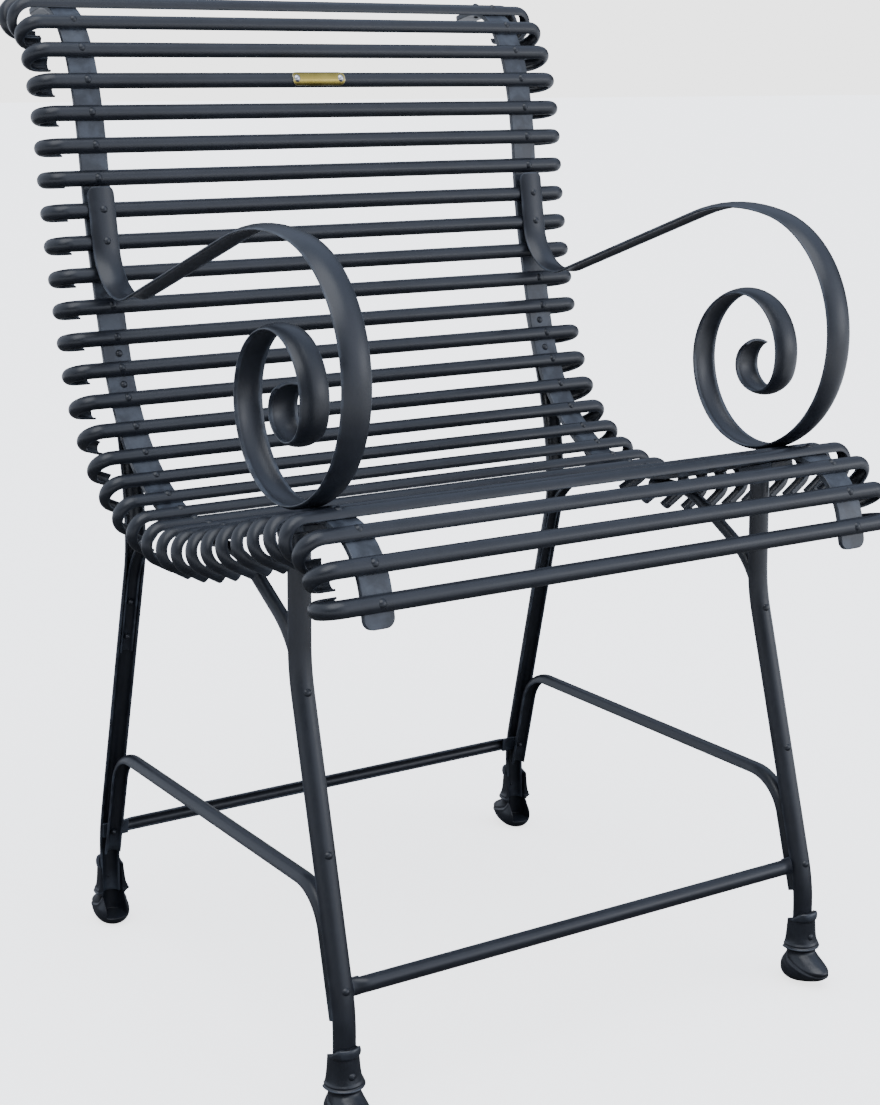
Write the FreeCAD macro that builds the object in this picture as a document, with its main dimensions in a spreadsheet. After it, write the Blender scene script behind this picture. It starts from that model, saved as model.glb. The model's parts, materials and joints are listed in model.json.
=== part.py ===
import FreeCAD, Part
import math
import os

import Sketcher
from FreeCAD import Placement, Rotation, Vector

# Garden armchair of hollow half-round iron bar, in millimetres.
# X runs across the chair, the sitter faces -Y, +Z is up and the soles stand on Z = 0.
# Every bar is bent in a plane, so its course is a line of straights and tangent bends.

# Driving dimensions: alias, value, meaning
DIMENSIONS = [
    ("slat_length", 560, "slat over its two curled ends"),
    ("slat_width", 14, "half-round bar of the slats"),
    ("slat_wall", 1.8, "wall of that bar"),
    ("slat_count", 33, "slats from the rolled top to the front edge"),
    ("curl_inner_radius", 12.6, "curl of a slat's end, at the lips of the bar"),
    ("curl_return", 10, "straight bar after the curl"),
    ("rib_width", 26, "flat bar under the slats"),
    ("rib_thickness", 5, "same"),
    ("slat_overhang", 49, "slat beyond the middle of each rib"),
    ("rib_top_height", 861, "tip of the rolled top above the ground"),
    ("rib_top_tab", 27, "bare rib above the first slat"),
    ("rib_front_tab", 19, "bare rib below the last slat"),
    ("front_tab_corner", 8, "rounding of the rib's front end"),
    ("rivet_shank", 4, "rivets of the slats and the frame, diameter"),
    ("rivet_head", 6.4, "dome of a rivet, diameter"),
    ("rivet_rise", 1.5, "height of the dome"),
    ("rivet_clearance", 0.15, "between shank and hole, on the radius"),
    ("arm_width", 29, "channel strap of the arms"),
    ("arm_rise", 5, "crown of the strap above its lips"),
    ("arm_wall", 2.6, "thickness of the strap"),
    ("arm_lap", 34, "strap above the middle of its two top slats"),
    ("arm_corner", 7, "rounding of the strap's top end"),
    ("leg_width", 20, "half-round bar of the legs"),
    ("leg_wall", 2.2, "wall of that bar"),
    ("leg_splay", 1.12, "lean of each leg outwards, degrees"),
    ("leg_end_height", 30, "lower end of the bar, inside the foot"),
    ("leg_knee_height", 112, "where the leg starts to turn upright again"),
    ("leg_knee_radius", 150, "bend there"),
    ("front_leg_drop", 92, "upright bar under the seat"),
    ("front_leg_radius", 150, "bend below it"),
    ("front_leg_rake", 15, "slope of the front leg, degrees"),
    ("front_leg_setback", 9, "lips of the front leg behind the middle of its palm"),
    ("palm_length", 44, "flat top of the front leg, along the rib"),
    ("palm_thickness", 5, "same"),
    ("palm_margin", 0.5, "rib's edge beyond the palm"),
    ("rear_leg_lap", 22, "rear leg above its tangent point on the back"),
    ("rear_leg_drop", 45, "straight bar below that point"),
    ("rear_leg_radius", 370, "first bend of the rear leg"),
    ("rear_leg_hock_radius", 125, "second bend"),
    ("rear_leg_rake", 15.5, "slope of the rear leg, degrees"),
    ("brace_width", 13, "half-round bar of the corner braces"),
    ("brace_wall", 1.8, "wall of that bar"),
    ("front_brace_turn", 45, "first bend of a front brace, degrees"),
    ("front_brace_top_radius", 110, "its bend up to the seat rib"),
    ("rear_brace_turn", 35, "first bend of a rear brace, degrees"),
    ("rear_brace_top_radius", 90, "its bend up to the seat rib"),
    ("brace_radius", 76, "first bend of every brace"),
    ("brace_tab", 14, "straight end along the seat rib"),
    ("front_brace_end_height", 203, "hidden end in the front leg"),
    ("rear_brace_end_height", 286, "hidden end in the rear leg"),
    ("nest_clearance", 0.3, "between a nested crown and the bar around it"),
    ("seat_clearance", 0.3, "between flat pieces and bars that lean or bend"),
    ("rail_width", 16, "half-round bar of the side stretchers"),
    ("rail_wall", 1.8, "wall of that bar"),
    ("rail_height", 181, "lips of the side stretcher above the ground"),
    ("rail_radius", 38, "bend at its ends"),
    ("rail_front_end_height", 84, "turned-down front end"),
    ("rail_rear_end_height", 73, "turned-down rear end"),
    ("rail_rear_gap", 0.6, "further clearance behind it, where the leg bends"),
    ("tie_width", 14, "half-round bar of the cross stretchers"),
    ("tie_wall", 1.8, "wall of that bar"),
    ("tie_tab_thickness", 2.4, "flattened end between leg and side stretcher"),
    ("tie_tab_height", 15, "same"),
    ("tie_tab_margin", 1.5, "leg's edge beyond the flattened end"),
    ("tie_tab_root", 8, "flattened end under the full bar"),
    ("front_tie_height", 110, "front cross stretcher above the ground"),
    ("rear_tie_height", 97, "rear cross stretcher above the ground"),
    ("foot_bore_clearance", 0.5, "between the leg and its foot"),
    ("foot_floor", 9, "solid sole of the foot"),
    ("foot_height", 62, "sole to the middle of the collar"),
    ("foot_ring_height", 33.5, "middle of the ring bead"),
    ("foot_ring_radius", 17, "ring bead, outside"),
    ("foot_ring_bead", 9, "height of the ring bead"),
    ("foot_collar_radius", 16.4, "collar bead, outside"),
    ("foot_collar_bead", 6, "height of the collar bead"),
    ("foot_collar_slant", 14, "collar bead rises towards the toe, degrees"),
    ("foot_neck_radius", 14.2, "casting between the beads"),
    ("foot_heel_lip", 3, "casting behind the lips of the leg"),
    ("hoof_half_width", 17, "hoof across the chair"),
    ("hoof_toe", 39, "hoof in front of the leg"),
    ("hoof_heel", 20, "hoof behind the leg"),
    ("hoof_toe_height", 17, "widest level of the hoof"),
    ("sole_half_width", 13, "flat sole across the chair"),
    ("sole_toe", 15, "flat sole in front of the leg"),
    ("sole_heel", 15, "flat sole behind the leg"),
    ("foot_screw_height", 44, "screw through the neck of the foot"),
    ("plate_length", 55.5, "bare brass plate"),
    ("plate_height", 13.6, "same, measured flat"),
    ("plate_thickness", 0.9, "same"),
    ("plate_corner", 5.5, "rounding of its corners"),
    ("plate_screw_spacing", 46.5, "between its two screws"),
    ("small_screw_shank", 2.4, "screws of the plate and the feet"),
    ("small_screw_head", 6.2, "same"),
    ("small_screw_rise", 1.5, "same"),
]

# Courses of the bent bars: a bend is (radius, degrees), to the left when positive,
# and a straight is (length,). Each is followed from its upper or front end.
COURSES = {
    "rib": [
        (53.9, 61.3), (125.6, 23.1), (382.5, 11.8), (636, -8.7), (63,), (208.4, -17.0),
        (155.4, -61.2), (355.3, -14.2), (135.4,), (60.5, 95), (4.1,),
    ],
    "arm_crest": [(198, 30.5), (101, 161.5)],
    "arm_scroll": [(72, 91.5), (60, 86), (49, 116.5), (25, 114.5), (19, 117.5)],
}
RIB_TOP_HEADING = 169.3
ARM_RISE_HEADING = 161.8
ARM_DIP_RADIUS = 50

# Slats and places along the rib, counted from the top slat as 0
PLATE_SLAT = 4
ARM_TOP_SLATS = (8, 9)
ARM_SEAT_STATION = 27.5
SLATS_UNDER_LOOP = (27, 28)
PALM_STATION = 27
PALM_RIVET_STATIONS = (26.5, 27.5)
REAR_LEG_STATION = 12.8
REAR_LEG_RIVET_STATIONS = (12.5, 13.5)
FRONT_BRACE_STATION = 21.5
REAR_BRACE_STATION = 19.5
BRACE_SLATS = {22: "front_brace", 19: "rear_brace"}
FRONT_BRACE_RIVET_HEIGHTS = (336, 213)
REAR_BRACE_RIVET_HEIGHTS = (336, 301)

OVAL_POINTS = 12
CUT_MARGIN = 1
BEAD_ROOT = 2
WAIST_INSET = 1
HOOF_LOW_SHARES = (0.94, 0.7, 0.92)
FULL_ROUND_REST = 0.05
BRACE_SAMPLES = 40
ROUND_TAIL_EXTRA = 0.6
BOLT_HEAD_EXTRA = 1.3
TAIL_GAP = 0.1
REAR_TAIL_GAP = 0.5
FOOT_SCREW_PLAY = 0.4

doc = FreeCAD.newDocument("garden_armchair")
sheet = doc.addObject("Spreadsheet::Sheet", "sizes")


def add_row(row, alias, value, meaning):
    """One line of the sheet: meaning, value and alias."""
    sheet.set(f"A{row}", meaning)
    sheet.set(f"B{row}", str(value))
    sheet.setAlias(f"B{row}", alias)


def course_aliases(name, index, step):
    """Aliases of one step of a course."""
    if len(step) == 1:
        return [f"{name}_straight_{index}"]
    return [f"{name}_radius_{index}", f"{name}_turn_{index}"]


row = 0
for alias, value, meaning in DIMENSIONS:
    row += 1
    add_row(row, alias, value, meaning)
for name, steps in COURSES.items():
    for index, step in enumerate(steps):
        for alias, value in zip(course_aliases(name, index, step), step):
            row += 1
            add_row(row, alias, value, f"course of the {name}")
doc.recompute()


def size(alias):
    """Value of one cell of the sheet."""
    return float(getattr(sheet, alias))


def course(name):
    """Steps of a course, read back from the sheet."""
    return [
        tuple(size(alias) for alias in course_aliases(name, index, step))
        for index, step in enumerate(COURSES[name])
    ]


# Courses in the side plane


def direction(heading):
    """Unit vector (Y, Z) of a heading in degrees, counted from +Y towards +Z."""
    return math.cos(math.radians(heading)), math.sin(math.radians(heading))


class Course:
    """Straights and tangent bends in the side plane, each point given as (Y, Z)."""

    def __init__(self, y, z, heading):
        self.y, self.z, self.heading = y, z, heading
        self.steps = []

    def copy(self):
        """Same course, to be carried on in another way."""
        twin = Course(self.y, self.z, self.heading)
        twin.steps = list(self.steps)
        return twin

    @property
    def length(self):
        return sum(step["length"] for step in self.steps)

    def add(self, length, radius=0.0, side=0):
        start = (self.y, self.z, self.heading)
        self.steps.append({"start": start, "length": length, "radius": radius, "side": side})
        self.y, self.z, self.heading = place_on(self.steps[-1], length)
        return self

    def straight(self, length):
        return self.add(length)

    def bend(self, radius, degrees):
        return self.add(radius * abs(math.radians(degrees)), radius, 1 if degrees > 0 else -1)

    def follow(self, steps):
        for step in steps:
            if len(step) == 1:
                self.straight(*step)
            else:
                self.bend(*step)
        return self

    def at(self, distance):
        """Point and heading at a distance from the start."""
        for step in self.steps:
            if distance <= step["length"]:
                return place_on(step, distance)
            distance -= step["length"]
        return place_on(self.steps[-1], self.steps[-1]["length"] + distance)

    def curvature(self, distance):
        """Curvature at a distance, positive where the bend's centre is on the left."""
        for step in self.steps:
            if distance <= step["length"]:
                return step["side"] / step["radius"] if step["side"] else 0.0
            distance -= step["length"]
        return 0.0

    def curves(self, offset=0.0):
        """Lines and arcs of the course, moved to the left by the offset."""
        result = []
        for step in self.steps:
            first = shifted(place_on(step, 0), offset)
            last = shifted(place_on(step, step["length"]), offset)
            if step["side"] == 0:
                result.append(Part.LineSegment(first, last))
                continue
            middle = shifted(place_on(step, step["length"] / 2), offset)
            result.append(Part.ArcOfCircle(first, middle, last))
        return result


def place_on(step, distance):
    """Point and heading on one step of a course."""
    y, z, heading = step["start"]
    if step["side"] == 0:
        dy, dz = direction(heading)
        return y + distance * dy, z + distance * dz, heading
    turned = step["side"] * math.degrees(distance / step["radius"])
    ny, nz = direction(heading + 90 * step["side"])
    centre_y, centre_z = y + step["radius"] * ny, z + step["radius"] * nz
    ny, nz = direction(heading + turned + 90 * step["side"])
    return centre_y - step["radius"] * ny, centre_z - step["radius"] * nz, heading + turned


def shifted(place, offset):
    """Sketch point that lies to the left of a place by the offset."""
    y, z, heading = place
    ny, nz = direction(heading + 90)
    return Vector(y + offset * ny, z + offset * nz, 0)


def arc_about(x, y, radius, start, end):
    """Arc about a centre from one angle to another, in degrees."""
    circle = Part.Circle(Vector(x, y, 0), Vector(0, 0, 1), radius)
    return Part.ArcOfCircle(circle, math.radians(start), math.radians(end))


def solve_straights(course_with, target):
    """Lengths of two straights that bring the end of a course to a target point.

    The end moves in proportion to each length, so three trials give both of them.
    """
    base = course_with(0, 0)
    first = course_with(1, 0)
    second = course_with(0, 1)
    a, c = first.y - base.y, first.z - base.z
    b, d = second.y - base.y, second.z - base.z
    gap_y, gap_z = target[0] - base.y, target[1] - base.z
    scale = a * d - b * c
    return (gap_y * d - gap_z * b) / scale, (a * gap_z - c * gap_y) / scale


# Layout of the chair, worked out before any piece is made

slat_height = size("slat_width") / 2
rib_middle = size("slat_length") / 2 - size("slat_overhang")
leg_radius = size("leg_width") / 2

rib_course = Course(0, size("rib_top_height"), RIB_TOP_HEADING)
rib_course.straight(size("rib_top_tab"))
rib_course.follow(course("rib"))
rib_course.straight(size("rib_front_tab"))
slatted_length = rib_course.length - size("rib_top_tab") - size("rib_front_tab")
slat_pitch = slatted_length / (size("slat_count") - 1)


def rib_place(station, outward=0.0):
    """Place by the rib at a station; outward is the distance in front of its face."""
    y, z, heading = rib_course.at(size("rib_top_tab") + station * slat_pitch)
    ny, nz = direction(heading - 90)
    return y + outward * ny, z + outward * nz, heading


def rib_curvature(station):
    """Curvature of the rib, positive where its back is hollow."""
    return rib_course.curvature(size("rib_top_tab") + station * slat_pitch)


def slat_lift(station):
    """Lift that keeps the lips of a slat out of a hollow bend of the rib."""
    return max(0.0, -rib_curvature(station)) * size("slat_width") ** 2 / 8


def head_lift(station):
    """Lift that keeps a flat-seated rivet head out of a hollow bend of the rib."""
    return max(0.0, -rib_curvature(station)) * size("rivet_head") ** 2 / 8


def tail_drop(station):
    """Drop that keeps a rivet's tail out of the hollow back of the rib."""
    return TAIL_GAP + max(0.0, rib_curvature(station)) * size("rivet_head") ** 2 / 8


def rib_spot_offset(point, station):
    """How far a point (Y, Z) lies along the rib from a station."""
    y, z, heading = rib_place(station)
    dy, dz = direction(heading)
    return (point[0] - y) * dy + (point[1] - z) * dz


def outward_of(point, station):
    """How far a point (Y, Z) stands in front of the rib's face at a station."""
    y, z, heading = rib_place(station)
    ny, nz = direction(heading - 90)
    return (point[0] - y) * ny + (point[1] - z) * nz


rib_back = -size("rib_thickness")

# Front leg: upright under the palm, raked forwards, upright again above the foot
palm_gap = size("rib_width") / 2 * math.tan(math.radians(size("leg_splay")))
palm_y, palm_z, palm_heading = rib_place(PALM_STATION, rib_back - palm_gap)
front_leg_top = palm_z - size("palm_thickness") / 2


def raked_leg(top, rake, knee_turn):
    """Leg from the end of its upper part down to the foot, with the straight fitted."""
    leg = top.copy()
    slope = math.radians(rake)
    leg.straight((leg.z - size("leg_knee_height")) / math.cos(slope))
    leg.bend(size("leg_knee_radius"), knee_turn)
    leg.straight(leg.z - size("leg_end_height"))
    return leg


front_leg_upper = Course(palm_y + size("front_leg_setback"), front_leg_top, 270)
front_leg_upper.straight(size("front_leg_drop"))
front_leg_upper.bend(size("front_leg_radius"), -size("front_leg_rake"))
front_leg_course = raked_leg(front_leg_upper, size("front_leg_rake"), size("front_leg_rake"))

# Rear leg: its lips lie on the back of the rib, then it swings down and backwards
tangent_y, tangent_z, rear_heading = rib_place(REAR_LEG_STATION, rib_back - size("seat_clearance"))
lap_y, lap_z = direction(rear_heading)
rear_leg_upper = Course(
    tangent_y - size("rear_leg_lap") * lap_y,
    tangent_z - size("rear_leg_lap") * lap_z,
    rear_heading,
)
rear_leg_upper.straight(size("rear_leg_lap") + size("rear_leg_drop"))
rear_leg_upper.bend(size("rear_leg_radius"), 270 - rear_heading)
rear_leg_upper.bend(size("rear_leg_hock_radius"), size("rear_leg_rake"))
rear_leg_course = raked_leg(rear_leg_upper, size("rear_leg_rake"), -size("rear_leg_rake"))


def leg_place(leg_course, height, inward=0.0):
    """Place on a leg at a height; inward is the distance from its lips into the chair.

    The last bend and the last straight run down to the foot, the straight before is raked.
    """
    low, high = 0.0, leg_course.length
    for _ in range(60):
        middle = (low + high) / 2
        if leg_course.at(middle)[1] > height:
            low = middle
        else:
            high = middle
    y, z, heading = leg_course.at(low)
    side = 90 if leg_course is front_leg_course else -90
    ny, nz = direction(heading + side)
    return y + inward * ny, z + inward * nz, heading


# Arm: both of its free straights follow from where it lies on the slats


def slat_heights_over(station, slats):
    """How far the middles of some slats' crowns stand in front of the rib at a station."""
    return [outward_of(rib_place(slat, slat_lift(slat))[:2], station) for slat in slats]


arm_top_station = sum(ARM_TOP_SLATS) / 2
strap_seat = max(slat_heights_over(arm_top_station, ARM_TOP_SLATS)) + slat_height
arm_y, arm_z, arm_heading = rib_place(arm_top_station, strap_seat)
loop_radius = course("arm_crest")[1][0] + size("arm_rise")
seat_slats = (math.floor(ARM_SEAT_STATION), math.ceil(ARM_SEAT_STATION))
seat_rest = sum(slat_heights_over(ARM_SEAT_STATION, seat_slats)) / 2
seat_rest += math.sqrt((loop_radius + slat_height) ** 2 - (slat_pitch / 2) ** 2) - loop_radius
seat_lips = seat_rest + size("arm_rise")
seat_y, seat_z, seat_heading = rib_place(ARM_SEAT_STATION, seat_lips)
crest_turns = [step[1] for step in course("arm_crest")]
contact_turn = seat_heading + 180 - ARM_RISE_HEADING - crest_turns[0]
arm_dip_turn = ARM_RISE_HEADING - arm_heading


def arm_to_contact(lap, rise):
    """Arm from its middle on the top slats to where its loop rests on the seat slats."""
    arm = Course(arm_y, arm_z, arm_heading)
    arm.straight(lap)
    arm.bend(ARM_DIP_RADIUS, arm_dip_turn)
    arm.straight(rise)
    arm.bend(*course("arm_crest")[0])
    arm.bend(course("arm_crest")[1][0], contact_turn)
    return arm


arm_down, arm_rise_length = solve_straights(arm_to_contact, (seat_y, seat_z))
arm_up_y, arm_up_z = direction(arm_heading)
arm_course = Course(
    arm_y - size("arm_lap") * arm_up_y, arm_z - size("arm_lap") * arm_up_z, arm_heading
)
arm_course.straight(size("arm_lap") + arm_down)
arm_course.bend(ARM_DIP_RADIUS, arm_dip_turn)
arm_course.straight(arm_rise_length)
arm_course.follow(course("arm_crest"))
arm_course.follow(course("arm_scroll"))

# Braces: nested in the leg, then bent up to lie along the underside of the seat rib
brace_radius = size("brace_width") / 2
brace_seat = size("seat_clearance") / 2
nest_depth = (leg_radius - size("leg_wall")) - brace_radius - size("nest_clearance")


def brace_course_for(end, leg_course, station):
    """Brace from its end in the leg to its tab on the rib, with both straights fitted.

    The middle of the tab lies at the station, and its crown on the rib's underside.
    """
    end_height = size(f"{end}_brace_end_height")
    start_y, start_z, leg_heading = leg_place(leg_course, end_height, -nest_depth)
    side = 1 if end == "rear" else -1
    half_tab = size("brace_tab") / 2
    tab_y, tab_z, rib_heading = rib_place(station, rib_back - brace_radius - brace_seat)
    tab_dy, tab_dz = direction(rib_heading)
    rib_y, rib_z = tab_y - side * half_tab * tab_dy, tab_z - side * half_tab * tab_dz
    end_heading = rib_heading if end == "rear" else rib_heading - 180
    start_heading = leg_heading - 180
    turn = side * size(f"{end}_brace_turn")
    last_turn = end_heading - start_heading - turn

    def nested(first, second):
        brace = Course(start_y, start_z, start_heading)
        brace.straight(first)
        brace.bend(size("brace_radius"), turn)
        brace.straight(second)
        brace.bend(size(f"{end}_brace_top_radius"), last_turn)
        return brace

    first, second = solve_straights(nested, (rib_y, rib_z))
    return nested(first, second).straight(size("brace_tab"))


front_brace_course = brace_course_for("front", front_leg_course, FRONT_BRACE_STATION)
rear_brace_course = brace_course_for("rear", rear_leg_course, REAR_BRACE_STATION)

# Side stretcher: its turned-down ends run along the inside of the legs
rail_radius = size("rail_width") / 2
rail_inward = rail_radius + size("tie_tab_thickness") + 2 * size("seat_clearance")
rail_front = leg_place(front_leg_course, size("front_tie_height"), rail_inward)
rail_rear = leg_place(rear_leg_course, size("rear_tie_height"), rail_inward + size("rail_rear_gap"))
front_slope = 90 - (leg_place(front_leg_course, size("leg_knee_height"))[2] - 180)
rear_slope = leg_place(rear_leg_course, size("leg_knee_height"))[2] - 270


def rail_end(anchor, slope, end_height):
    """Turned-down end of the side stretcher, which passes the anchor by the leg.

    Gives how far its lower end and its corner lie from the anchor along Y, and the
    length of the straight below its bend.
    """
    lean = math.tan(math.radians(slope))
    length = (size("rail_height") - end_height) / math.cos(math.radians(slope))
    length -= size("rail_radius") * math.tan(math.radians((90 - slope) / 2))
    end_y = (anchor[1] - end_height) * lean
    level_y = (size("rail_height") - anchor[1]) * lean
    return end_y, level_y, length


front_end_y, front_level_y, front_rail_straight = rail_end(
    rail_front, front_slope, size("rail_front_end_height")
)
rear_end_y, rear_level_y, rear_rail_straight = rail_end(
    rail_rear, rear_slope, size("rail_rear_end_height")
)
front_corner_y = rail_front[0] + front_level_y
rear_corner_y = rail_rear[0] - rear_level_y
front_corner_cut = size("rail_radius") * math.tan(math.radians((90 - front_slope) / 2))
rear_corner_cut = size("rail_radius") * math.tan(math.radians((90 - rear_slope) / 2))
rail_course = Course(
    rail_front[0] - front_end_y, size("rail_front_end_height"), 90 - front_slope
)
rail_course.straight(front_rail_straight)
rail_course.bend(size("rail_radius"), front_slope - 90)
rail_course.straight(rear_corner_y - front_corner_y - front_corner_cut - rear_corner_cut)
rail_course.bend(size("rail_radius"), rear_slope - 90)
rail_course.straight(rear_rail_straight)


# Making pieces


def origin_plane(body, role):
    """Origin plane of a body, found by its role."""
    return next(item for item in body.Origin.OriginFeatures if item.Role == role)


def new_body(label):
    body = doc.addObject("PartDesign::Body", label)
    body.Label = label
    return body


def new_sketch(body, name, role, offset=None):
    """Sketch on an origin plane of the body, moved by an offset."""
    sketch = body.newObject("Sketcher::SketchObject", name)
    sketch.AttachmentSupport = (origin_plane(body, role), [""])
    sketch.MapMode = "FlatFace"
    if offset is not None:
        sketch.AttachmentOffset = offset
    return sketch


def across(y, z, heading, crown_side):
    """Placement of a cross-section: its X across the chair, its Y towards the crown."""
    crown = heading + (90 if crown_side == "left" else -90)
    cy, cz = direction(crown)
    return Placement(Vector(0, y, z), Rotation(Vector(1, 0, 0), Vector(0, cy, cz), Vector(0, -cz, cy)))


def add_ring_section(sketch, outer, inner, centre_drop, outer_formula, inner_formula, drop_formula):
    """Bar section between two arcs that end on the sketch's X axis, at the lips.

    The arcs share a centre that lies below the lips by the drop.
    """
    outer_half = math.sqrt(outer ** 2 - centre_drop ** 2)
    inner_half = math.sqrt(inner ** 2 - centre_drop ** 2)
    outer_angle = math.degrees(math.asin(centre_drop / outer))
    inner_angle = math.degrees(math.asin(centre_drop / inner))
    sketch.addGeometry(arc_about(0, -centre_drop, outer, outer_angle, 180 - outer_angle), False)
    sketch.addGeometry(arc_about(0, -centre_drop, inner, inner_angle, 180 - inner_angle), False)
    sketch.addGeometry(Part.LineSegment(Vector(inner_half, 0, 0), Vector(outer_half, 0, 0)), False)
    sketch.addGeometry(Part.LineSegment(Vector(-outer_half, 0, 0), Vector(-inner_half, 0, 0)), False)
    make = Sketcher.Constraint
    ties = [make("Coincident", 0, 1, 2, 2), make("Coincident", 0, 2, 3, 1)]
    ties += [make("Coincident", 1, 1, 2, 1), make("Coincident", 1, 2, 3, 2)]
    ties += [make("PointOnObject", arc, end, -1) for arc in (0, 1) for end in (1, 2)]
    ties += [make("Coincident", 1, 3, 0, 3)]
    if drop_formula:
        ties += [make("PointOnObject", 0, 3, -2)]
    else:
        ties += [make("Coincident", 0, 3, -1, 1)]
    sketch.addConstraint(ties)
    bound = [("outer_radius", make("Radius", 0, outer), outer_formula)]
    bound += [("inner_radius", make("Radius", 1, inner), inner_formula)]
    if drop_formula:
        bound += [("centre_drop", make("DistanceY", 0, 3, -1, 1, centre_drop), drop_formula)]
    for name, constraint, formula in bound:
        index = sketch.addConstraint(constraint)
        sketch.renameConstraint(index, name)
        sketch.setExpression(f"Constraints.{name}", formula)


def half_round(sketch, width_alias, wall_alias):
    """Hollow half-round section, its lips on the sketch's X axis."""
    outer = size(width_alias) / 2
    radius = f"sizes.{width_alias} / 2"
    add_ring_section(
        sketch, outer, outer - size(wall_alias), 0.0, radius, f"{radius} - sizes.{wall_alias}", ""
    )


def channel(sketch):
    """Shallow channel of the arm strap, its lips on the sketch's X axis."""
    half, rise = size("arm_width") / 2, size("arm_rise")
    outer = (half ** 2 + rise ** 2) / (2 * rise)
    radius = "(sizes.arm_width ^ 2 / 4 + sizes.arm_rise ^ 2) / (2 * sizes.arm_rise)"
    add_ring_section(
        sketch,
        outer,
        outer - size("arm_wall"),
        outer - rise,
        radius,
        f"{radius} - sizes.arm_wall",
        f"{radius} - sizes.arm_rise",
    )


def sweep(body, section, spine):
    """Section carried along a spine sketch."""
    pipe = body.newObject("PartDesign::AdditivePipe", "swept_bar")
    pipe.Profile = section
    pipe.Spine = (spine, [f"Edge{index + 1}" for index in range(spine.GeometryCount)])
    return pipe


def bent_bar(label, bar_course, crown_side, draw_section):
    """Bar bent in the side plane, on the middle plane of its body."""
    body = new_body(label)
    spine = new_sketch(body, "course", "YZ_Plane")
    for curve in bar_course.curves():
        spine.addGeometry(curve, False)
    start = across(*bar_course.at(0), crown_side)
    section = new_sketch(body, "section", "XY_Plane", start)
    draw_section(section)
    sweep(body, section, spine)
    return body


def rectangle(sketch, x0, y0, x1, y1):
    """Four lines round a rectangle."""
    corners = [Vector(x0, y0, 0), Vector(x1, y0, 0), Vector(x1, y1, 0), Vector(x0, y1, 0)]
    for first, last in zip(corners, corners[1:] + corners[:1]):
        sketch.addGeometry(Part.LineSegment(first, last), False)


def waste_corner(sketch, corner, inward, radius):
    """Loop round what a rounded corner leaves out; inward gives the signs into the piece."""
    (x, y), (ix, iy) = corner, inward
    centre = Vector(x + ix * radius, y + iy * radius, 0)
    half_way = radius * math.sqrt(0.5)
    first, last = Vector(x, centre.y, 0), Vector(centre.x, y, 0)
    middle = centre - Vector(ix * half_way, iy * half_way, 0)
    sketch.addGeometry(Part.ArcOfCircle(first, middle, last), False)
    outer = [
        last,
        Vector(centre.x, y - iy * CUT_MARGIN, 0),
        Vector(x - ix * CUT_MARGIN, y - iy * CUT_MARGIN, 0),
        Vector(x - ix * CUT_MARGIN, centre.y, 0),
        first,
    ]
    for start, end in zip(outer, outer[1:]):
        sketch.addGeometry(Part.LineSegment(start, end), False)


def pad(body, sketch, formula, symmetric=False):
    """Pad of a sketch with its length bound to the sheet."""
    feature = body.newObject("PartDesign::Pad", "pad")
    feature.Profile = sketch
    feature.setExpression("Length", formula)
    if symmetric:
        feature.SideType = "Symmetric"
    return feature


def pocket(body, sketch, reach, reverse=False, symmetric=False):
    """Pocket of a sketch over a length."""
    feature = body.newObject("PartDesign::Pocket", "pocket")
    feature.Profile = sketch
    feature.Length = reach
    feature.Reversed = reverse
    if symmetric:
        feature.SideType = "Symmetric"
    return feature


def edges_where(shape, test):
    """Names of the edges that pass a test."""
    return [f"Edge{index + 1}" for index, edge in enumerate(shape.Edges) if test(edge)]


def round_edges(body, feature, names, formula, limit):
    """Fillet on named edges with its radius bound to the sheet."""
    fillet = body.newObject("PartDesign::Fillet", "rounded_end")
    fillet.Base = (feature, names)
    fillet.Radius = limit
    fillet.setExpression("Radius", formula)
    return fillet


# Places of bodies

blanks = {}
holes = {}
sub_parts = []


def side_placement(side):
    """Leg plane on one side: middle of the rib, leaning outwards towards the ground."""
    pivot = Vector(side * rib_middle, 0, front_leg_top)
    lean = Rotation(Vector(0, 1, 0), -side * size("leg_splay"))
    return Placement(pivot, lean) * Placement(Vector(0, 0, -front_leg_top), Rotation())


def rib_placement(side):
    return Placement(Vector(side * rib_middle, 0, 0), Rotation())


def keep(label, body, placement):
    """Note a finished blank under its node's name."""
    body.Placement = placement
    blanks[label] = body
    holes[label] = []


def drill(label, radius, placement, start, length):
    """Hole along the Z axis of a placement, from start over a length, through one piece."""
    cylinder = doc.addObject("Part::Cylinder", f"{label}_hole")
    cylinder.Radius = radius
    cylinder.Height = length
    cylinder.Placement = placement * Placement(Vector(0, 0, start), Rotation())
    holes[label].append(cylinder)


def facing(y, z, heading):
    """Placement at a place of a course: X along the chair's X, Z out to the right of it."""
    oy, oz = direction(heading - 90)
    return Placement(Vector(0, y, z), Rotation(Vector(1, 0, 0), Vector(0, oz, -oy), Vector(0, oy, oz)))


# Slats: one body each, in its own frame with Z out of the rib and the lips on Z = 0

SIDES = {"left": -1, "right": 1}
rivet_hole_radius = size("rivet_shank") / 2 + size("rivet_clearance")
small_hole_radius = size("small_screw_shank") / 2 + size("rivet_clearance")


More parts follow.
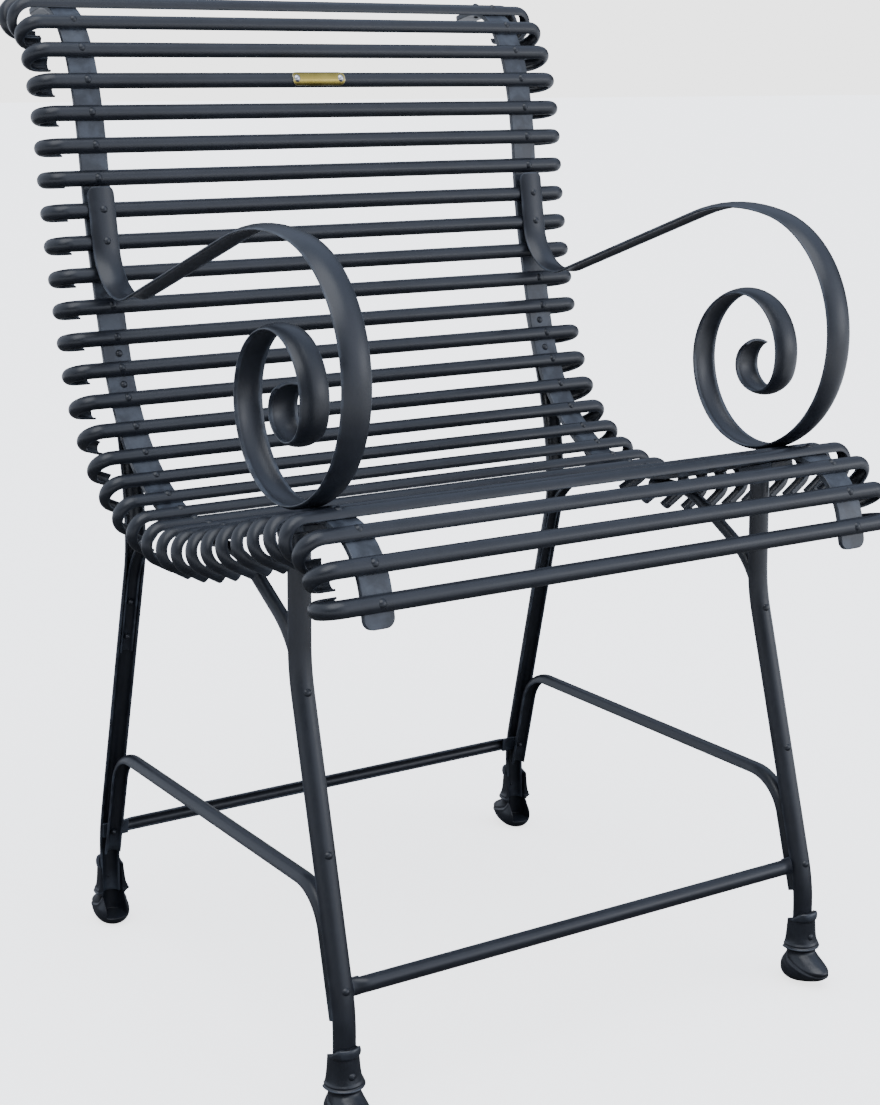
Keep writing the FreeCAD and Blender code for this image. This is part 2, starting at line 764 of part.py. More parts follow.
def slat_body(label, with_plate):
    """Half-round slat with a curl at each end and its rivet holes."""
    body = new_body(label)
    curl = size("curl_inner_radius")
    half = size("slat_length") / 2 - curl - slat_height
    tip = half - size("curl_return")
    spine = new_sketch(body, "course", "XZ_Plane")
    spine.addGeometry(Part.LineSegment(Vector(-tip, -2 * curl, 0), Vector(-half, -2 * curl, 0)), False)
    spine.addGeometry(arc_about(-half, -curl, curl, 90, 270), False)
    spine.addGeometry(Part.LineSegment(Vector(-half, 0, 0), Vector(half, 0, 0)), False)
    spine.addGeometry(arc_about(half, -curl, curl, -90, 90), False)
    spine.addGeometry(Part.LineSegment(Vector(half, -2 * curl, 0), Vector(tip, -2 * curl, 0)), False)
    turned = Rotation(Vector(0, 1, 0), Vector(0, 0, -1), Vector(-1, 0, 0))
    section = new_sketch(body, "section", "XY_Plane", Placement(Vector(-tip, 0, -2 * curl), turned))
    half_round(section, "slat_width", "slat_wall")
    sweep(body, section, spine)
    drilled = new_sketch(body, "rivet_holes", "XY_Plane")
    for side in SIDES.values():
        circle = Part.Circle(Vector(side * rib_middle, 0, 0), Vector(0, 0, 1), rivet_hole_radius)
        drilled.addGeometry(circle, False)
    if with_plate:
        for side in SIDES.values():
            spot = Vector(side * size("plate_screw_spacing") / 2, 0, 0)
            drilled.addGeometry(Part.Circle(spot, Vector(0, 0, 1), small_hole_radius), False)
    pocket(body, drilled, slat_height + CUT_MARGIN, reverse=True)
    return body


slat_frames = []
for index in range(int(size("slat_count"))):
    frame = facing(*rib_place(index, slat_lift(index)))
    slat_frames.append(frame)
    label = f"slat_{index:02d}"
    keep(label, slat_body(label, index == PLATE_SLAT), frame)

# Side ribs: flat bar, its front face on the course, its top end rounded in full


def rib_body(label):
    body = new_body(label)
    sketch = new_sketch(body, "side_view", "YZ_Plane")
    thickness = size("rib_thickness")
    for curve in rib_course.curves() + rib_course.curves(thickness):
        sketch.addGeometry(curve, False)
    for distance in (0, rib_course.length):
        place = rib_course.at(distance)
        sketch.addGeometry(Part.LineSegment(shifted(place, 0), shifted(place, thickness)), False)
    bar = pad(body, sketch, "sizes.rib_width", symmetric=True)
    doc.recompute()
    ends = {}
    for name, distance in (("top", 0), ("front", rib_course.length)):
        spot = shifted(rib_course.at(distance), thickness / 2)
        ends[name] = Vector(0, spot.x, spot.y)

    def short_edge_at(name):
        return lambda edge: (
            abs(edge.Length - thickness) < 0.01
            and edge.CenterOfMass.distanceToPoint(ends[name]) < size("rib_width")
        )

    top_names = edges_where(bar.Shape, short_edge_at("top"))
    full = size("rib_width") / 2 - FULL_ROUND_REST
    top = round_edges(body, bar, top_names, f"sizes.rib_width / 2 - {FULL_ROUND_REST}", full)
    doc.recompute()
    front_names = edges_where(top.Shape, short_edge_at("front"))
    round_edges(body, top, front_names, "sizes.front_tab_corner", size("front_tab_corner"))
    return body


for name, side in SIDES.items():
    keep(f"side_rib_{name}", rib_body(f"side_rib_{name}"), rib_placement(side))

# Arms: strap with its crown outwards all round the scroll


def arm_body(label):
    body = bent_bar(label, arm_course, "right", channel)
    doc.recompute()
    y, z, heading = arm_course.at(0)
    half = size("arm_width") / 2
    oy, oz = direction(heading - 90)
    dy, dz = direction(heading)
    turned = Rotation(Vector(1, 0, 0), Vector(0, dy, dz), Vector(0, -oy, -oz))
    trim = new_sketch(body, "end_corners", "XY_Plane", Placement(Vector(0, y, z), turned))
    for side in SIDES.values():
        waste_corner(trim, (side * half, 0), (-side, 1), size("arm_corner"))
    pocket(body, trim, 3 * size("arm_rise"), symmetric=True)
    return body


for name, side in SIDES.items():
    keep(f"arm_{name}", arm_body(f"arm_{name}"), rib_placement(side))

# Legs


def leg_section(sketch):
    half_round(sketch, "leg_width", "leg_wall")


def front_leg_body(label):
    """Front leg with its crown forwards and a flat palm under the seat rib."""
    body = bent_bar(label, front_leg_course, "right", leg_section)
    palm = new_sketch(body, "palm_view", "YZ_Plane")
    y, z, heading = palm_y, palm_z, palm_heading
    dy, dz = direction(heading)
    ny, nz = direction(heading + 90)
    half, thick = size("palm_length") / 2, size("palm_thickness")
    corners = []
    for along, down in ((-half, 0), (half, 0), (half, thick), (-half, thick)):
        corners.append(Vector(y + along * dy + down * ny, z + along * dz + down * nz, 0))
    for first, last in zip(corners, corners[1:] + corners[:1]):
        palm.addGeometry(Part.LineSegment(first, last), False)
    pad(body, palm, "sizes.rib_width - 2 * sizes.palm_margin", symmetric=True)
    return body


for name, side in SIDES.items():
    keep(f"front_leg_{name}", front_leg_body(f"front_leg_{name}"), side_placement(side))
    rear = bent_bar(f"rear_leg_{name}", rear_leg_course, "left", leg_section)
    keep(f"rear_leg_{name}", rear, side_placement(side))

# Braces and side stretchers

brace_courses = {"front_brace": front_brace_course, "rear_brace": rear_brace_course}


def brace_depth(brace_course, station):
    """Depth of the inside of a brace's wall below the rib's face at a station."""
    depths = []
    for step in range(BRACE_SAMPLES):
        distance = brace_course.length - step
        y, z, _ = brace_course.at(distance)
        beside = abs(rib_spot_offset((y, z), station))
        depths.append((beside, -outward_of((y, z), station)))
    return min(depths)[1] - brace_radius + size("brace_wall") + TAIL_GAP


def brace_section(sketch):
    half_round(sketch, "brace_width", "brace_wall")


def rail_section(sketch):
    half_round(sketch, "rail_width", "rail_wall")


for name, side in SIDES.items():
    front_brace = bent_bar(f"front_brace_{name}", front_brace_course, "left", brace_section)
    keep(f"front_brace_{name}", front_brace, side_placement(side))
    rear_brace = bent_bar(f"rear_brace_{name}", rear_brace_course, "right", brace_section)
    keep(f"rear_brace_{name}", rear_brace, side_placement(side))
    rail = bent_bar(f"side_stretcher_{name}", rail_course, "left", rail_section)
    keep(f"side_stretcher_{name}", rail, side_placement(side))

# Cross stretchers: crown outwards, each end flattened where it passes between the bars


def leg_middle(height):
    """Distance of a leg's middle from the middle of the chair, at a height."""
    return rib_middle + (front_leg_top - height) * math.tan(math.radians(size("leg_splay")))


def tie_body(label, height):
    """Cross stretcher in its own frame: lips on Z = 0, crown towards +Z."""
    middle = leg_middle(height)
    bar_half = middle - leg_radius
    tab_end = middle + leg_radius - size("tie_tab_margin")
    body = new_body(label)
    section = new_sketch(body, "section", "YZ_Plane")
    half_round(section, "tie_width", "tie_wall")
    bar = body.newObject("PartDesign::Pad", "bar")
    bar.Profile = section
    bar.Length = 2 * bar_half
    bar.SideType = "Symmetric"
    tabs = new_sketch(body, "tabs", "XY_Plane")
    half_tab = size("tie_tab_height") / 2
    for side in SIDES.values():
        edges = sorted((side * (bar_half - size("tie_tab_root")), side * tab_end))
        rectangle(tabs, edges[0], -half_tab, edges[1], half_tab)
    flat = pad(body, tabs, "sizes.tie_tab_thickness")
    flat.Reversed = True
    return body


for end, leg_course, turn in (("front", front_leg_course, 0), ("rear", rear_leg_course, 180)):
    height = size(f"{end}_tie_height")
    y, z, heading = leg_place(leg_course, height, size("seat_clearance"))
    tie = tie_body(f"{end}_cross_stretcher", height)
    keep(f"{end}_cross_stretcher", tie, facing(y, z, heading + turn))


# Feet: a casting round the lower end of each leg, in a frame whose toe points to -Y


def oval(sketch, half_width, toe, heel):
    """Closed smooth outline, with its own reach to the toe and to the heel."""
    points = []
    for step in range(OVAL_POINTS):
        angle = 2 * math.pi * step / OVAL_POINTS
        reach = toe if math.sin(angle) > 0 else heel
        points.append(Vector(half_width * math.cos(angle), -reach * math.sin(angle), 0))
    outline = Part.BSplineCurve()
    outline.interpolate(Points=points, PeriodicFlag=True)
    sketch.addGeometry(outline, False)


def bead(body, name, height, radius, bead_height, slant):
    """Round bead about the casting, on an axis that leans by the slant."""
    turned = Rotation(Vector(0, 0, 1), slant)
    sketch = new_sketch(body, name, "YZ_Plane", Placement(Vector(0, height, 0), turned))
    half = bead_height / 2
    inner = size("foot_neck_radius") - BEAD_ROOT
    sketch.addGeometry(arc_about(radius - half, 0, half, -90, 90), False)
    sketch.addGeometry(Part.LineSegment(Vector(radius - half, half, 0), Vector(inner, half, 0)), False)
    sketch.addGeometry(Part.LineSegment(Vector(inner, half, 0), Vector(inner, -half, 0)), False)
    low = Vector(inner, -half, 0)
    sketch.addGeometry(Part.LineSegment(low, Vector(radius - half, -half, 0)), False)
    ring = body.newObject("PartDesign::Revolution", f"{name}_bead")
    ring.Profile = sketch
    ring.ReferenceAxis = (sketch, ["V_Axis"])
    ring.Angle = 360
    return ring


def foot_body(label):
    """Hoof foot: solid sole, hoof, ring, neck and slanted collar, open behind the leg."""
    body = new_body(label)
    neck = size("foot_neck_radius")
    lip = size("foot_heel_lip")
    toe_height = size("hoof_toe_height")
    waist = size("foot_ring_height")
    hoof_reaches = (size("hoof_half_width"), size("hoof_toe"), size("hoof_heel"))
    low_reaches = [share * reach for share, reach in zip(HOOF_LOW_SHARES, hoof_reaches)]
    waist_reach = neck - WAIST_INSET
    levels = [
        (0, size("sole_half_width"), size("sole_toe"), size("sole_heel")),
        (toe_height / 3, *low_reaches),
        (toe_height, *hoof_reaches),
        (waist, waist_reach, waist_reach, lip + size("foot_ring_bead") / 2),
    ]
    sketches = []
    for index, (height, *reaches) in enumerate(levels):
        level = Placement(Vector(0, 0, height), Rotation())
        sketch = new_sketch(body, f"hoof_level_{index}", "XY_Plane", level)
        oval(sketch, *reaches)
        sketches.append(sketch)
    hoof = body.newObject("PartDesign::AdditiveLoft", "hoof")
    hoof.Profile = sketches[0]
    hoof.Sections = sketches[1:]
    neck_sketch = new_sketch(body, "neck", "XY_Plane", Placement(Vector(0, 0, waist), Rotation()))
    neck_sketch.addGeometry(Part.Circle(Vector(0, 0, 0), Vector(0, 0, 1), neck), False)
    neck_pad = body.newObject("PartDesign::Pad", "neck_pad")
    neck_pad.Profile = neck_sketch
    neck_pad.Length = size("foot_height") - waist
    neck_pad.setExpression("Length", "sizes.foot_height - sizes.foot_ring_height")
    bead(body, "ring", size("foot_ring_height"), size("foot_ring_radius"), size("foot_ring_bead"), 0)
    bead(
        body,
        "collar",
        size("foot_height"),
        size("foot_collar_radius"),
        size("foot_collar_bead"),
        -size("foot_collar_slant"),
    )
    top = size("foot_height") + size("foot_collar_radius")
    ring_foot = waist - size("foot_ring_bead") / 2
    ring_level = Placement(Vector(0, 0, ring_foot), Rotation())
    open_side = new_sketch(body, "open_side", "XY_Plane", ring_level)
    wide = size("foot_ring_radius") + CUT_MARGIN
    rectangle(open_side, -wide, lip, wide, wide)
    pocket(body, open_side, top, reverse=True)
    bore = leg_radius + size("foot_bore_clearance")
    floor = size("foot_floor")
    recess = new_sketch(body, "recess", "XY_Plane", Placement(Vector(0, 0, floor), Rotation()))
    reach = 2 * size("hoof_heel")
    recess.addGeometry(arc_about(0, 0, bore, 180, 360), False)
    recess.addGeometry(Part.LineSegment(Vector(bore, 0, 0), Vector(bore, reach, 0)), False)
    recess.addGeometry(Part.LineSegment(Vector(bore, reach, 0), Vector(-bore, reach, 0)), False)
    recess.addGeometry(Part.LineSegment(Vector(-bore, reach, 0), Vector(-bore, 0, 0)), False)
    pocket(body, recess, top, reverse=True)
    return body


def foot_placement(side, leg_course, toe_turn):
    """Upright foot whose middle is the leg's middle halfway up its socket."""
    half_socket = (size("leg_end_height") + size("foot_height")) / 2
    spot = Vector(side * leg_middle(half_socket), leg_course.y, 0)
    return Placement(spot, Rotation(Vector(0, 0, 1), toe_turn))


for name, side in SIDES.items():
    for end, leg_course, toe_turn in (("front", front_leg_course, 0), ("rear", rear_leg_course, 180)):
        label = f"foot_{end}_{name}"
        keep(label, foot_body(label), foot_placement(side, leg_course, toe_turn))

# Bare brass plate, bent round the crown of its slat


def plate_body(label):
    body = new_body(label)
    sketch = new_sketch(body, "end_view", "YZ_Plane")
    inner = slat_height
    outer = inner + size("plate_thickness")
    spread = math.degrees(size("plate_height") / 2 / inner)
    sketch.addGeometry(arc_about(0, 0, inner, 90 - spread, 90 + spread), False)
    sketch.addGeometry(arc_about(0, 0, outer, 90 - spread, 90 + spread), False)
    for angle in (90 - spread, 90 + spread):
        dy, dz = direction(angle)
        first, last = Vector(inner * dy, inner * dz, 0), Vector(outer * dy, outer * dz, 0)
        sketch.addGeometry(Part.LineSegment(first, last), False)
    pad(body, sketch, "sizes.plate_length", symmetric=True)
    trim = new_sketch(body, "plate_corners", "XY_Plane")
    half_length = size("plate_length") / 2
    half_height = outer * math.sin(math.radians(spread))
    for x_side in SIDES.values():
        for y_side in SIDES.values():
            corner = (x_side * half_length, y_side * half_height)
            waste_corner(trim, corner, (-x_side, -y_side), size("plate_corner"))
    pocket(body, trim, outer + CUT_MARGIN, reverse=True)
    return body


plate_frame = slat_frames[PLATE_SLAT]
keep("brass_plate", plate_body("brass_plate"), plate_frame)

# Rivets and screws: Z out of the head, the crown under the head at Z = 0, its bar along X


def fastener(grip, seat_radius, head_radius, rise, shank_radius, tail):
    """One rivet or screw: dome, shank and a tail that is flat, round or left out."""
    ball = (head_radius ** 2 + rise ** 2) / (2 * rise)
    dome = Part.makeSphere(ball, Vector(0, 0, rise - ball))
    reach = 4 * head_radius
    if seat_radius:
        start = Vector(-reach, 0, -seat_radius)
        seat = Part.makeCylinder(seat_radius, 2 * reach, start, Vector(1, 0, 0))
    else:
        seat = Part.makeBox(2 * reach, 2 * reach, reach, Vector(-reach, -reach, -reach))
    shank_top = rise / 2
    solid = dome.cut(seat)
    shank_end = grip if tail == "flat" else grip + shank_radius
    shank = Part.makeCylinder(shank_radius, shank_end + shank_top, Vector(0, 0, -shank_end))
    solid = solid.fuse(shank)
    if tail == "flat":
        end = Part.makeSphere(ball, Vector(0, 0, ball - rise - grip))
        keep_below = Part.makeBox(
            2 * reach, 2 * reach, reach, Vector(-reach, -reach, -reach - grip)
        )
        solid = solid.fuse(end.common(keep_below))
    if tail == "round":
        radius = shank_radius + ROUND_TAIL_EXTRA
        solid = solid.fuse(Part.makeSphere(radius, Vector(0, 0, -grip - radius)))
    return solid.removeSplitter()


groups = {}


def fix(group, placement, solid, through, grip, hole_radius, above=CUT_MARGIN):
    """Place one fastener and drill every piece that it passes through."""
    groups.setdefault(group, []).append((placement, solid))
    for label in through:
        drill(label, hole_radius, placement, -grip - above, grip + 2 * above)


QUARTER = Rotation(Vector(0, 0, 1), 90)
head_radius = size("rivet_head") / 2
rise = size("rivet_rise")
shank_radius = size("rivet_shank") / 2
thickness = size("rib_thickness")
strap_radius = (size("arm_width") ** 2 / 4 + size("arm_rise") ** 2) / (2 * size("arm_rise"))


def rivet(grip, seat_radius, tail):
    return fastener(grip, seat_radius, head_radius, rise, shank_radius, tail)


def above_rib(side, station, outward):
    """Placement in front of a rib, seen from the rib's own frame."""
    return rib_placement(side) * facing(*rib_place(station, outward))


def on_leg(side, leg_course, height, crown_side):
    """Placement on the crown of a leg, with its bar along X."""
    y, z, heading = leg_place(leg_course, height, -leg_radius)
    along = heading if crown_side == "right" else heading + 180
    return side_placement(side) * facing(y, z, along) * Placement(Vector(), QUARTER)


for name, side in SIDES.items():
    rib = f"side_rib_{name}"
    arm = f"arm_{name}"
    for index in range(int(size("slat_count"))):
        lift = slat_lift(index)
        if index in ARM_TOP_SLATS + SLATS_UNDER_LOOP:
            continue
        spot = above_rib(side, index, lift + slat_height)
        if index in BRACE_SLATS:
            brace = BRACE_SLATS[index]
            grip = lift + slat_height + brace_depth(brace_courses[brace], index)
            solid = rivet(grip, slat_height, "round")
            fix("slat_rivets", spot, solid, [rib, f"{brace}_{name}"], grip, rivet_hole_radius)
            continue
        grip = slat_height + lift + thickness + tail_drop(index)
        fix("slat_rivets", spot, rivet(grip, slat_height, "flat"), [rib], grip, rivet_hole_radius)
    for index in ARM_TOP_SLATS:
        crown = strap_seat + size("arm_rise")
        grip = crown + thickness + tail_drop(index)
        spot = above_rib(side, index, crown) * Placement(Vector(), QUARTER)
        solid = rivet(grip, strap_radius, "flat")
        fix("arm_rivets", spot, solid, [rib, arm], grip, rivet_hole_radius)

    # One bolt through the arm's loop, the seat rib and the palm of the front leg
    front_leg = f"front_leg_{name}"
    leg_frame = side_placement(side)
    bolt_head = head_radius + BOLT_HEAD_EXTRA
    inner_face = seat_lips - size("arm_rise") + size("arm_wall")
    inner_face += bolt_head ** 2 / (2 * (strap_radius - size("arm_wall")))
    palm_stack = thickness + 2 * palm_gap + size("palm_thickness") + TAIL_GAP
    grip = inner_face + palm_stack
    spot = above_rib(side, ARM_SEAT_STATION, inner_face)
    solid = fastener(grip, 0, bolt_head, rise, shank_radius, "flat")
    fix("arm_rivets", spot, solid, [rib, arm, front_leg], grip, rivet_hole_radius)
    for station in PALM_RIVET_STATIONS:
        if station == ARM_SEAT_STATION:
            continue
        spot = above_rib(side, station, 0)
        solid = rivet(palm_stack, 0, "flat")
        fix("frame_rivets", spot, solid, [rib, front_leg], palm_stack, rivet_hole_radius)

    # Rear leg on the back of the rib: heads on the leg, tails in the gaps between slats
    rear_leg = f"rear_leg_{name}"
    for station in REAR_LEG_RIVET_STATIONS:
        distance = size("rear_leg_lap") + (station - REAR_LEG_STATION) * slat_pitch
        y, z, heading = rear_leg_course.at(distance)
        crown_y, crown_z = shifted((y, z, heading), leg_radius)[:2]
        spot = side_placement(side) * facing(crown_y, crown_z, heading + 180)
        spot = spot * Placement(Vector(), QUARTER)
        grip = REAR_TAIL_GAP - outward_of((crown_y, crown_z), station)
        solid = rivet(grip, leg_radius, "flat")
        fix("frame_rivets", spot, solid, [rear_leg, rib], grip, rivet_hole_radius)

    # Brace ends on the seat rib
    for brace, station in ((f"front_brace_{name}", FRONT_BRACE_STATION),
                           (f"rear_brace_{name}", REAR_BRACE_STATION)):
        grip = head_lift(station) + thickness + brace_seat + size("brace_wall")
        spot = above_rib(side, station, head_lift(station))
        fix("frame_rivets", spot, rivet(grip, 0, "round"), [rib, brace], grip, rivet_hole_radius)

    # Braces in the legs, then stretchers in the legs
    legs = (
        ("front", front_leg_course, "right", FRONT_BRACE_RIVET_HEIGHTS, size("front_tie_height")),
        ("rear", rear_leg_course, "left", REAR_BRACE_RIVET_HEIGHTS, size("rear_tie_height")),
    )
    for end, leg_course, crown_side, brace_heights, tie_height in legs:
        leg = f"{end}_leg_{name}"
        for height in brace_heights:
            grip = size("leg_wall") + size("nest_clearance") + size("brace_wall")
            spot = on_leg(side, leg_course, height, crown_side)
            through = [leg, f"{end}_brace_{name}"]
            solid = rivet(grip, leg_radius, "round")
            fix("frame_rivets", spot, solid, through, grip, rivet_hole_radius)
        grip = leg_radius + rail_inward - rail_radius + size("rail_wall")
        grip += size("rail_rear_gap") if end == "rear" else 0
        spot = on_leg(side, leg_course, tie_height, crown_side)
        through = [leg, f"{end}_cross_stretcher", f"side_stretcher_{name}"]
        fix("frame_rivets", spot, rivet(grip, leg_radius, "round"), through, grip, rivet_hole_radius)

        # Screw through the neck of the foot into the leg
        foot = f"foot_{end}_{name}"
        neck = size("foot_neck_radius")
        toe_turn = 0 if end == "front" else 180
        spot = foot_placement(side, leg_course, toe_turn)
        screw_turn = Rotation(Vector(1, 0, 0), 90)
        spot = spot * Placement(Vector(0, -neck, size("foot_screw_height")), screw_turn)
        spot = spot * Placement(Vector(), QUARTER)
        grip = neck - leg_radius + size("leg_wall")
        solid = fastener(
            grip, neck, size("small_screw_head") / 2, size("small_screw_rise"),
            size("small_screw_shank") / 2, ""
        )
        fix("foot_screws", spot, solid, [foot, leg], grip, small_hole_radius + FOOT_SCREW_PLAY, 2.0)

    # Plate screws
    crown = slat_height + size("plate_thickness")
    along = side * size("plate_screw_spacing") / 2
    spot = plate_frame * Placement(Vector(along, 0, crown), Rotation())
    grip = size("plate_thickness") + size("slat_wall")
    solid = fastener(
        grip, crown, size("small_screw_head") / 2, size("small_screw_rise"),
        size("small_screw_shank") / 2, ""
    )
    fix("plate_screws", spot, solid, ["brass_plate"], grip, small_hole_radius)

# Drill the pieces that carry rivets, and gather each kind of fastener in one node

for label, blank in blanks.items():
    if not holes[label]:
        sub_parts.append(blank)
        continue
    tool = holes[label][0]
    if len(holes[label]) > 1:
        tool = doc.addObject("Part::Compound", f"{label}_holes")
        tool.Links = holes[label]
    blank.Label = f"{label}_blank"
    cut = doc.addObject("Part::Cut", label)
    cut.Base = blank
    cut.Tool = tool
    cut.Label = label
    sub_parts.append(cut)

for label, members in groups.items():
    solids = []
    for placement, solid in members:
        placed = solid.Solids[0].copy()
        placed.Placement = placement
        solids.append(placed)
    group = doc.addObject("Part::Feature", label)
    group.Label = label
    group.Shape = Part.makeCompound(solids)
    sub_parts.append(group)
doc.recompute()


def stop_on_faults():
    """Stop before anything is written if an object failed or a shape is bad."""
    faults = [item.Label for item in doc.Objects if {"Invalid", "Error"} & set(item.State)]
    for part in sub_parts:
        if part.Shape.isNull() or not part.Shape.isValid() or not part.Shape.Solids:
            faults.append(part.Label)
    if faults:
        raise RuntimeError(f"not built: {faults}")


# Centre of the frame: halfway between the frontmost and the rearmost point

stop_on_faults()
low = min(part.Shape.optimalBoundingBox().YMin for part in sub_parts)
high = max(part.Shape.optimalBoundingBox().YMax for part in sub_parts)
centring = Placement(Vector(0, -(low + high) / 2, 0), Rotation())
for part in sub_parts:
    part.Placement = centring * part.Placement
doc.recompute()
stop_on_faults()

os.makedirs("parts", exist_ok=True)
for part in sub_parts:
    part.Shape.exportStep(os.path.join("parts", f"{part.Label}.step"))
print(f"{len(sub_parts)} sub-parts, centred by {centring.Base.y:.2f} mm along Y")
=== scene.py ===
# %% [markdown]
# # A garden armchair of bent half-round bar
#
# The chair is made of a few stock bars, each bent cold in one plane and riveted together:
# half-round bar for the slats, legs, braces and stretchers, a flat bar under the slats, and a
# shallow channel strap for the arms. Only the four hoof feet are castings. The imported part
# gives every solid its place; here each bar is carried again along its own course with its
# lips rounded, because a rounded lip is what catches the light on painted iron.

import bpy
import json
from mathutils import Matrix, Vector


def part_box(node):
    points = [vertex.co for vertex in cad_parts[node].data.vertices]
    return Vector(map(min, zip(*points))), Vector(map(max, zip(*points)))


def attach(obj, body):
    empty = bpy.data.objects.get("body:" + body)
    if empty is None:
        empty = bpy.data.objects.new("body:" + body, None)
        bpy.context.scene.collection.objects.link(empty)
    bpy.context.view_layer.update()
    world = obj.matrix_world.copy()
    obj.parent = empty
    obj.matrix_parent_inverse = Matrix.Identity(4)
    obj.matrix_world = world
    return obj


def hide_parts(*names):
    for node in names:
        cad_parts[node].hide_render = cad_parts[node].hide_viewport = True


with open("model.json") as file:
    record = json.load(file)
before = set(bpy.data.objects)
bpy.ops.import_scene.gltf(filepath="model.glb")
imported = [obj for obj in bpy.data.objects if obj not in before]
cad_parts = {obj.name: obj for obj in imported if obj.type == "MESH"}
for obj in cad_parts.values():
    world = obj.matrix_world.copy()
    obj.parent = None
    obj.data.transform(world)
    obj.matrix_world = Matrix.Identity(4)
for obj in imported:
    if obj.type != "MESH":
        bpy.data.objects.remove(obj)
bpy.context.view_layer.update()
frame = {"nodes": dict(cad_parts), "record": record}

# %% Names and units
import json
import math

import bpy
import numpy as np
from mathutils import Matrix, Vector

MM = 0.001
TAU = 2 * math.pi
SIDES = {"left": -1, "right": 1}
ACROSS = np.array([1.0, 0, 0])

# %% [markdown]
# ## Courses
#
# A smith bends a bar over a former, one radius after another, so its middle line is a chain of
# straights and tangent arcs. Such a course is written down as a start and a list of steps, and
# any point on it follows from one rule: an arc of length s and curvature k has a chord of
# s sin(ks/2) / (ks/2), and the chord's heading is the start's heading plus ks/2. With no
# curvature the same rule gives the straight. This is shorter and more exact than drawing a
# curve by hand, and it gives the normals of the bar as well.
#
# A start is (y, z, heading) in the plane of one side of the chair, in millimetres and degrees.
# Where a bar starts on another one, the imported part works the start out, and it is repeated here
# to a thousandth of a millimetre so that both agree.

# %% Lay out a course and find places on it


def lay_out(start, steps):
    """Rows of a course: distance, y, z, heading and curvature where each step begins.

    A step is (length,) or (radius, degrees), which turns to the left when positive.
    """
    y, z, heading = start[0], start[1], math.radians(start[2])
    distance = 0.0
    rows = []
    for step in steps:
        turn = math.radians(step[1]) if len(step) == 2 else 0.0
        length = step[0] * abs(turn) if len(step) == 2 else step[0]
        rows.append((distance, y, z, heading, turn / length))
        chord = length * np.sinc(turn / TAU)
        y += chord * math.cos(heading + turn / 2)
        z += chord * math.sin(heading + turn / 2)
        heading += turn
        distance += length
    rows.append((distance, y, z, heading, 0.0))
    return np.array(rows)


def places(course, distance):
    """y, z and heading at distances along a course, each by the chord of its step."""
    distance = np.asarray(distance, float)
    step = np.clip(np.searchsorted(course[:, 0], distance, side="right") - 1, 0, len(course) - 2)
    begun, y, z, heading, curvature = course[step].T
    run = distance - begun
    chord = run * np.sinc(run * curvature / TAU)
    middle = heading + run * curvature / 2
    return y + chord * np.cos(middle), z + chord * np.sin(middle), heading + run * curvature


def stops(course, longest, sharpest):
    """Distances at which a bar gets a row: no gap over a length, no turn over some degrees."""
    lengths = np.diff(course[:, 0])
    turns = np.degrees(np.abs(lengths * course[:-1, 4]))
    counts = np.ceil(np.maximum(lengths / longest, turns / sharpest)).astype(int)
    steps = zip(course[:-1, 0], course[1:, 0], counts)
    parts = [np.linspace(first, last, count, endpoint=False) for first, last, count in steps]
    return np.append(np.concatenate(parts), course[-1, 0])


RIB_TOP_TAB, RIB_FRONT_TAB = 27, 19
RIB = lay_out((0, 861, 169.3), [
    (RIB_TOP_TAB,), (53.9, 61.3), (125.6, 23.1), (382.5, 11.8), (636, -8.7), (63,), (208.4, -17.0),
    (155.4, -61.2), (355.3, -14.2), (135.4,), (60.5, 95), (4.1,), (RIB_FRONT_TAB,),
])
ARM = lay_out((-123.813, 707.949, 260.761), [
    (53.166,), (50, -98.961), (201.74,), (198, 30.5), (101, 161.5),
    (72, 91.5), (60, 86), (49, 116.5), (25, 114.5), (19, 117.5),
])
FRONT_LEG = lay_out((-480.454, 466.352, 270), [(92,), (150, -15), (231.414,), (150, 15), (43.177,)])
REAR_LEG = lay_out((-137.301, 574.459, 252.873), [
    (67,), (370, 17.127), (125, 15.5), (265.726,), (150, -15.5), (41.914,),
])
FRONT_BRACE = lay_out((-522.042, 203.259, 75), [(147.097,), (76, -45), (40.513,), (110, -36.526), (14,)])
REAR_BRACE = lay_out((-145.173, 286.267, 105.5), [(71.334,), (76, 35), (18.867,), (90, 47.173), (14,)])
SIDE_STRETCHER = lay_out((-541.56, 84, 75), [(71.263,), (38, -75), (327.705,), (38, -74.5), (83.18,)])
CENTRING_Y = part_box("side_rib_left")[0][1] / MM - RIB[-1, 1]
print("rib", round(RIB[-1, 0]), "mm, arm", round(ARM[-1, 0]), "mm along their courses")
print("middle of the frame:", round(CENTRING_Y, 2), "mm behind the courses' origin")

# %% [markdown]
# ## Bar sections
#
# Rolled half-round bar is a thin shell: an outer arc, an inner arc and two lips. The arm strap
# is the same thing with its centre far below the lips, which makes a shallow channel. One
# function therefore draws both. Where an arc meets a lip, a small circle of radius q touches
# both of them: its centre is q above the lip and q inside the arc, and the arc takes over where
# the two circles touch.

# %% Draw the sections
LIP_ROUNDING = 0.55
ARC_POINTS = 15
LIP_POINTS = 4


def arc_points(x, y, radius, first, last, count):
    """Points x + r cos t, y + r sin t between two angles, and their angles."""
    angle = np.linspace(first, last, count)
    return np.column_stack([x + radius * np.cos(angle), y + radius * np.sin(angle)]), angle


